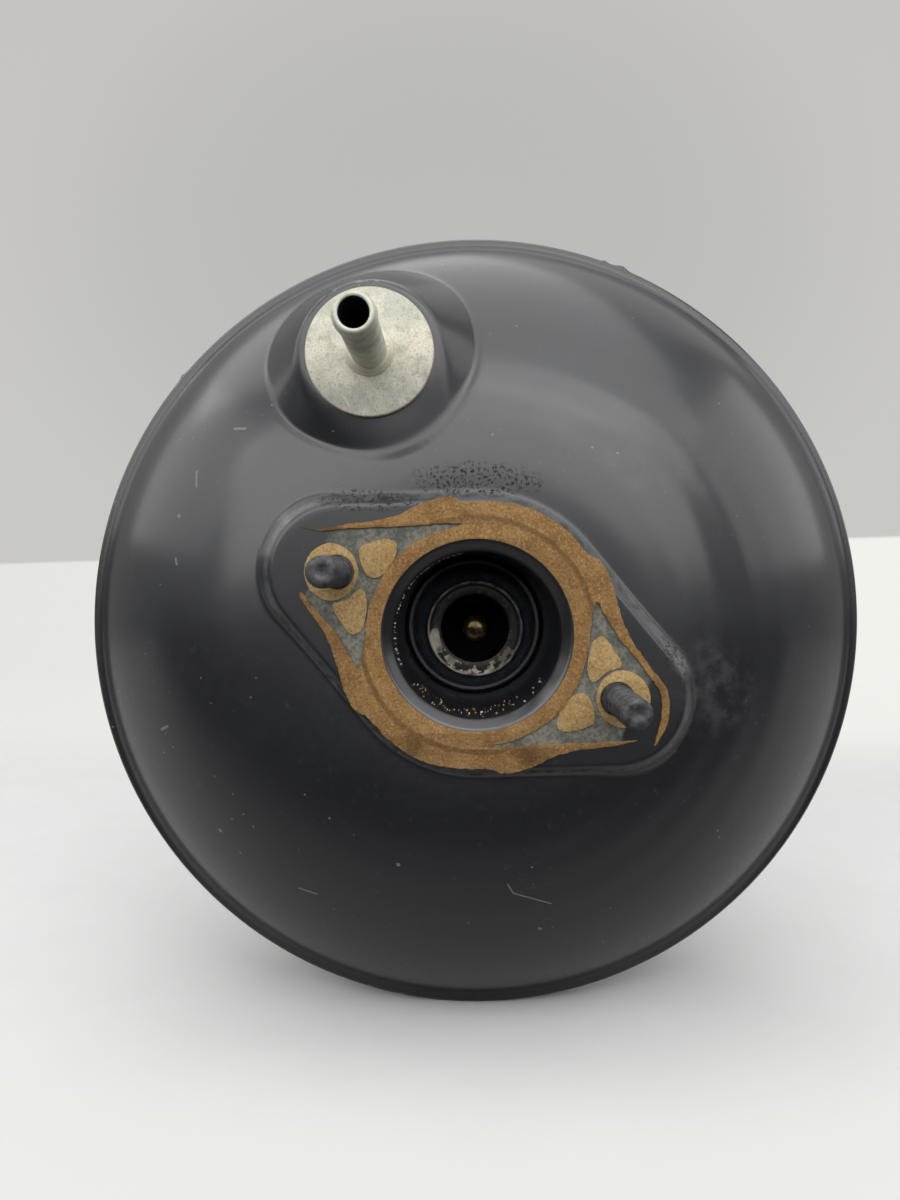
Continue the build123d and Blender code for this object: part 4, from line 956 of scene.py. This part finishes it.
crumb_points = [(0.30, 0, 0), (-0.26, 0.05, 0), (0, 0.22, 0), (0.04, -0.25, 0), (0, 0, 0.28),
                (0, 0.03, -0.2)]
crumb_faces = [(0, 2, 4), (2, 1, 4), (1, 3, 4), (3, 0, 4), (2, 0, 5), (1, 2, 5), (3, 1, 5),
               (0, 3, 5)]
for name, finish, count, first, last, least, most in (
        ("cup_crystals", crystal, 70, 100, 205, 3.4, 9.0),
        ("cup_crystals_below", crystal, 26, 215, 330, 4.0, 20.0),
        ("cup_flakes", amber, 46, 225, 300, 5.0, 24.0)):
    crumb = plain_mesh(name, [tuple(c * MM for c in p) for p in crumb_points], crumb_faces)
    grown(closed(crumb), strewn, {
        "Count": count, "First turn": radians(first), "Last turn": radians(last),
        "Least depth": (least - LENGTH) * MM, "Most depth": (most - LENGTH) * MM,
        "Radius": (BORE_R - 0.08) * MM}, finish)
    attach(closed(crumb), "shell")


# Output rod: the push rod that works the master cylinder. Yellow-passivated steel with a
# domed tip, and it shows through the seal's hole.

rod_steel = Finish("passivated_rod", Metallic=0.9)
place, x, y, z = rod_steel.place()
mottle = rod_steel.noise(place, 420.0, 4.0, 0.6)
shade = rod_steel.mix(mottle.step(0.35, 0.65), (0.050, 0.033, 0.014), (0.17, 0.125, 0.062))
# Painted shade: the rod is near-black from just behind its tip.
shade = rod_steel.mix(y.step(-0.0910, -0.0885), shade, (0.006, 0.005, 0.004))
rod_steel.cover(shade, mottle, 0.2, 0.0001, Roughness=mottle * 0.15 + 0.12)
TIP = 29.0 - LENGTH
HUB_FRONT = -27.0
rod_side = [(0.01, TIP)]
for i in range(1, 9):
    rod_side.append((4.0 * sin(i * pi / 16), TIP + 2.2 * (1 - cos(i * pi / 16))))
rod_side += [(4.0, TIP + 15.9), (5.0, TIP + 17.0), (5.0, HUB_FRONT + 0.15),
             (12.9, HUB_FRONT + 0.2), (12.9, HUB_FRONT + 4.2), (0.01, HUB_FRONT + 4.2)]
output_rod = turned("output_rod_turned", rod_side, 96, 40.0)
fit(output_rod, "power_piston", "rod_steel", rod_steel, "output_rod")


# Rear shell and firewall studs. The rear shell is pressed like the front one and has the same
# paint, without the scratches. Four M8 studs on it hold the booster to the firewall.

def merged(node, name):
    """Copy of a solid of the frame with its loose triangles joined and shaded smooth."""
    made = bpy.data.objects.new(name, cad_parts[node].data.copy())
    bpy.context.collection.objects.link(made)
    for key in [k for k in made.data.attributes.keys() if k.startswith("custom_normal")]:
        made.data.attributes.remove(made.data.attributes[key])
    return closed(made, 30.0, 2e-6)


rear_paint, place, colour, rough, wave = worn_paint("rear_paint")
rear_paint.cover(colour, wave, 0.35, 0.0006, Roughness=rough)
fit(merged("rear_shell", "rear_shell_pressing"), "shell", "black_paint", rear_paint, "rear_shell")

FIREWALL_ACROSS = 76.0
FIREWALL_UP = 60.0
firewall_side = [(0.01, -4.1), (7.0, -4.1), (7.0, -1.6), (4.6, -1.6), (4.6, 0.0), (3.98, 0.02),
                 (3.95, 2.2), (3.7, 23.4), (3.3, 23.85), (2.9, 24.0), (1.9, 24.0), (1.5, 23.9),
                 (0.7, 23.6), (0.01, 23.55)]
firewall_marks = [(across * FIREWALL_ACROSS / 2, up * FIREWALL_UP / 2)
                  for across in (-1, 1) for up in (-1, 1)]
firewall_studs = threaded_rod("firewall_studs_rolled", firewall_side, 3.4, 23.1, phosphate,
                              firewall_marks)
fit(firewall_studs, "shell", "stud_steel", phosphate, "firewall_studs")


# Rubber, springs, plastic and steel that the shells hold or that show only at the back:
# moulded black rubber, wound spring wire, moulded plastic, felt, foam and plain pressed steel.

def simple(name, low, high, rough, scale, metallic=0.0, bump=0.3, depth=0.0002):
    """Finish with a cloud of two tones, fine grain in its gloss, and a grainy surface."""
    made = Finish(name, Metallic=metallic)
    place = made.place()[0]
    cloud = made.noise(place, 90.0, 5.0, 0.6)
    grain = made.noise(place, scale, 3.0, 0.6)
    shade = made.mix(cloud.step(0.32, 0.68) * 0.7 + grain * 0.3, low, high)
    made.cover(shade, grain + cloud, bump, depth, Roughness=grain * 0.25 + rough - 0.12)
    return made


rubber = simple("moulded_rubber", (0.014, 0.014, 0.015), (0.040, 0.040, 0.041), 0.62, 700.0)
plastic = simple("moulded_plastic", (0.030, 0.025, 0.020), (0.070, 0.058, 0.045), 0.45, 500.0)
spring_wire = simple("spring_wire", (0.10, 0.10, 0.105), (0.26, 0.26, 0.27), 0.38, 900.0, 0.9)
pressed_steel = simple("pressed_steel", (0.32, 0.32, 0.33), (0.55, 0.55, 0.56), 0.40, 800.0, 0.95)
clevis_zinc = simple("plated_forging", (0.42, 0.40, 0.33), (0.62, 0.58, 0.47), 0.42, 500.0, 0.85)
felt = simple("felt", (0.42, 0.40, 0.35), (0.62, 0.59, 0.52), 0.95, 1400.0, 0.0, 0.8, 0.0006)
foam = simple("foam", (0.04, 0.04, 0.04), (0.10, 0.10, 0.10), 0.95, 1400.0, 0.0, 1.0, 0.0008)
# Greased steel, darkened further to near-black as painted shade for the seat seen through the seal's hole.
greased_steel = simple("greased_steel", (0.006, 0.005, 0.004), (0.020, 0.017, 0.014), 0.5, 600.0,
                       0.2)

for node, body, slot, finish in (
        ("neck_seal", "shell", "black_rubber", rubber),
        ("neck_bearing", "shell", "plastic", plastic),
        ("front_reinforcement_plate", "shell", "steel", pressed_steel),
        ("return_spring_seat", "power_piston", "steel", greased_steel),
        ("diaphragm_plate", "power_piston", "steel", pressed_steel),
        ("valve_body", "power_piston", "plastic", plastic),
        ("poppet_valve", "power_piston", "black_rubber", rubber),
        ("poppet_spring", "power_piston", "spring_steel", spring_wire),
        ("poppet_retainer", "power_piston", "steel", pressed_steel),
        ("stop_key", "stop_key", "steel", pressed_steel),
        ("valve_plunger", "valve_plunger", "steel", pressed_steel),
        ("input_rod_spring_seat", "pedal_rod", "steel", pressed_steel),
        ("clevis_lock_nut", "pedal_rod", "zinc", clevis_zinc),
        ("clevis", "pedal_rod", "zinc", clevis_zinc)):
    fit(merged(node, node + "_piece"), body, slot, finish, node)


# Soft pieces between moving ones. The return spring and the pedal rod's spring are wound
# wire that shortens with the stroke, and the rubber diaphragm rolls over at its rim.

def stretched(piece, first, second, start_y, end_y):
    """Lets a piece follow one body at start_y and the other one from end_y on."""
    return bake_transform(piece, first, second, (0, start_y * MM, 0), (0, end_y * MM, 0))


for node, name, slot, finish, start_y, end_y in (
        ("return_spring", "return_spring_wound", "spring_steel", spring_wire, -117.4, -28.5),
        ("diaphragm", "diaphragm_moulded", "black_rubber", rubber, -70.0, -44.0)):
    piece = dress(merged(node, name), slot, finish, node)
    stretched(piece, "shell", "power_piston", start_y, end_y)

reaction_disc = merged("reaction_disc", "reaction_disc_moulded")
fit(reaction_disc, "power_piston", "black_rubber", rubber, "reaction_disc")
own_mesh(reaction_disc)

SPRING_FRONT = 25.4
SPRING_REAR = 38.8
SPRING_SHARE = 0.945
rod_spring = dress(merged("input_rod_spring", "input_rod_spring_wound"), "spring_steel",
                   spring_wire, "input_rod_spring")
for v in rod_spring.data.vertices:
    v.co.y = SPRING_FRONT * MM + (v.co.y - SPRING_FRONT * MM) * SPRING_SHARE
stretched(rod_spring, "power_piston", "valve_plunger", SPRING_FRONT, SPRING_REAR)

for name, slot, finish, bore, front_y, rear_y in (
        ("air_filter", "foam", foam, 7.3, 43.6, 50.0),
        ("air_silencer", "felt", felt, 7.7, 50.2, 53.4)):
    side = [(bore, front_y + 0.3), (bore + 0.3, front_y), (16.0, front_y), (16.3, front_y + 0.3),
            (16.3, rear_y - 0.3), (16.0, rear_y), (bore + 0.3, rear_y), (bore, rear_y - 0.3)]
    fit(turned(name + "_ring", side, 96, 50.0), "power_piston", slot, finish, name)


# Dust boot: moulded rubber bellows from the neck to the pedal rod. The folds close up with the
# stroke, and the tail grips the rod and tilts with it.

FOLDS = 6
FOLD = 6.2
FOLD_START = 18.6
FOLD_ROWS = 10
BOOT_END = 58.6
BOOT_WALL = 1.1
folds = [(28.6, 7.0), (28.75, 7.3), (28.75, 8.6), (28.3, 9.0), (28.3, FOLD_START - 1.6)]
for i in range(FOLDS * FOLD_ROWS + 1):
    wave = 0.5 - 0.5 * cos(2 * pi * i / FOLD_ROWS)
    folds.append((25.3 + 3.3 * wave ** 0.8, FOLD_START + i * FOLD / FOLD_ROWS))
folds += [(25.3, BOOT_END - 1.0), (25.2, BOOT_END)]
lining = [(r - BOOT_WALL, y) for r, y in reversed(folds)]
lining[-2:] = [(27.15, 8.6), (27.15, 7.0)]
bellows = turned("dust_boot_bellows", folds + lining, 128, 60.0)
dress(bellows, "black_rubber", rubber, "dust_boot")
stretched(bellows, "shell", "power_piston", 12.0, BOOT_END)

tail_side = [(23.9, 54.5), (23.9, 60.2), (23.3, 61.0), (10.6, 65.2), (7.6, 66.6), (6.6, 67.6),
             (6.2, 69.0), (6.2, 69.6), (6.6, 69.9), (6.6, 70.9), (6.3, 71.3), (4.8, 71.3),
             (4.7, 66.6), (9.6, 64.2), (22.8, 59.8), (22.8, 54.5)]
tail = turned("dust_boot_tail", tail_side, 96, 60.0)
dress(tail, "black_rubber", rubber)
stretched(tail, "valve_plunger", "pedal_rod", 60.0, 65.5)


# Pedal rod: turned steel with a ball in the plunger, a spring collar and an M8 thread that
# the clevis and its lock nut turn on.

pedal_side = [(0.01, 1.4)]
for i in range(1, 13):
    pedal_side.append((4.2 * sin(i * pi / 16), 5.6 - 4.2 * cos(i * pi / 16)))
pedal_side += [(2.8, 10.6), (4.5, 12.3), (4.5, 40.85), (6.3, 40.85), (6.5, 41.05), (6.5, 42.65),
               (6.3, 42.85), (4.5, 42.85), (4.5, 83.6), (4.2, 84.0), (STUD_R, 84.2),
               (3.6, 106.4), (3.0, 107.0), (0.01, 107.0)]
pedal_rod = threaded_rod("pedal_rod_turned", pedal_side, 84.6, 106.0, clevis_zinc, [(0.0, 0.0)])
fit(pedal_rod, "pedal_rod", "rod_steel", clevis_zinc, "input_rod")
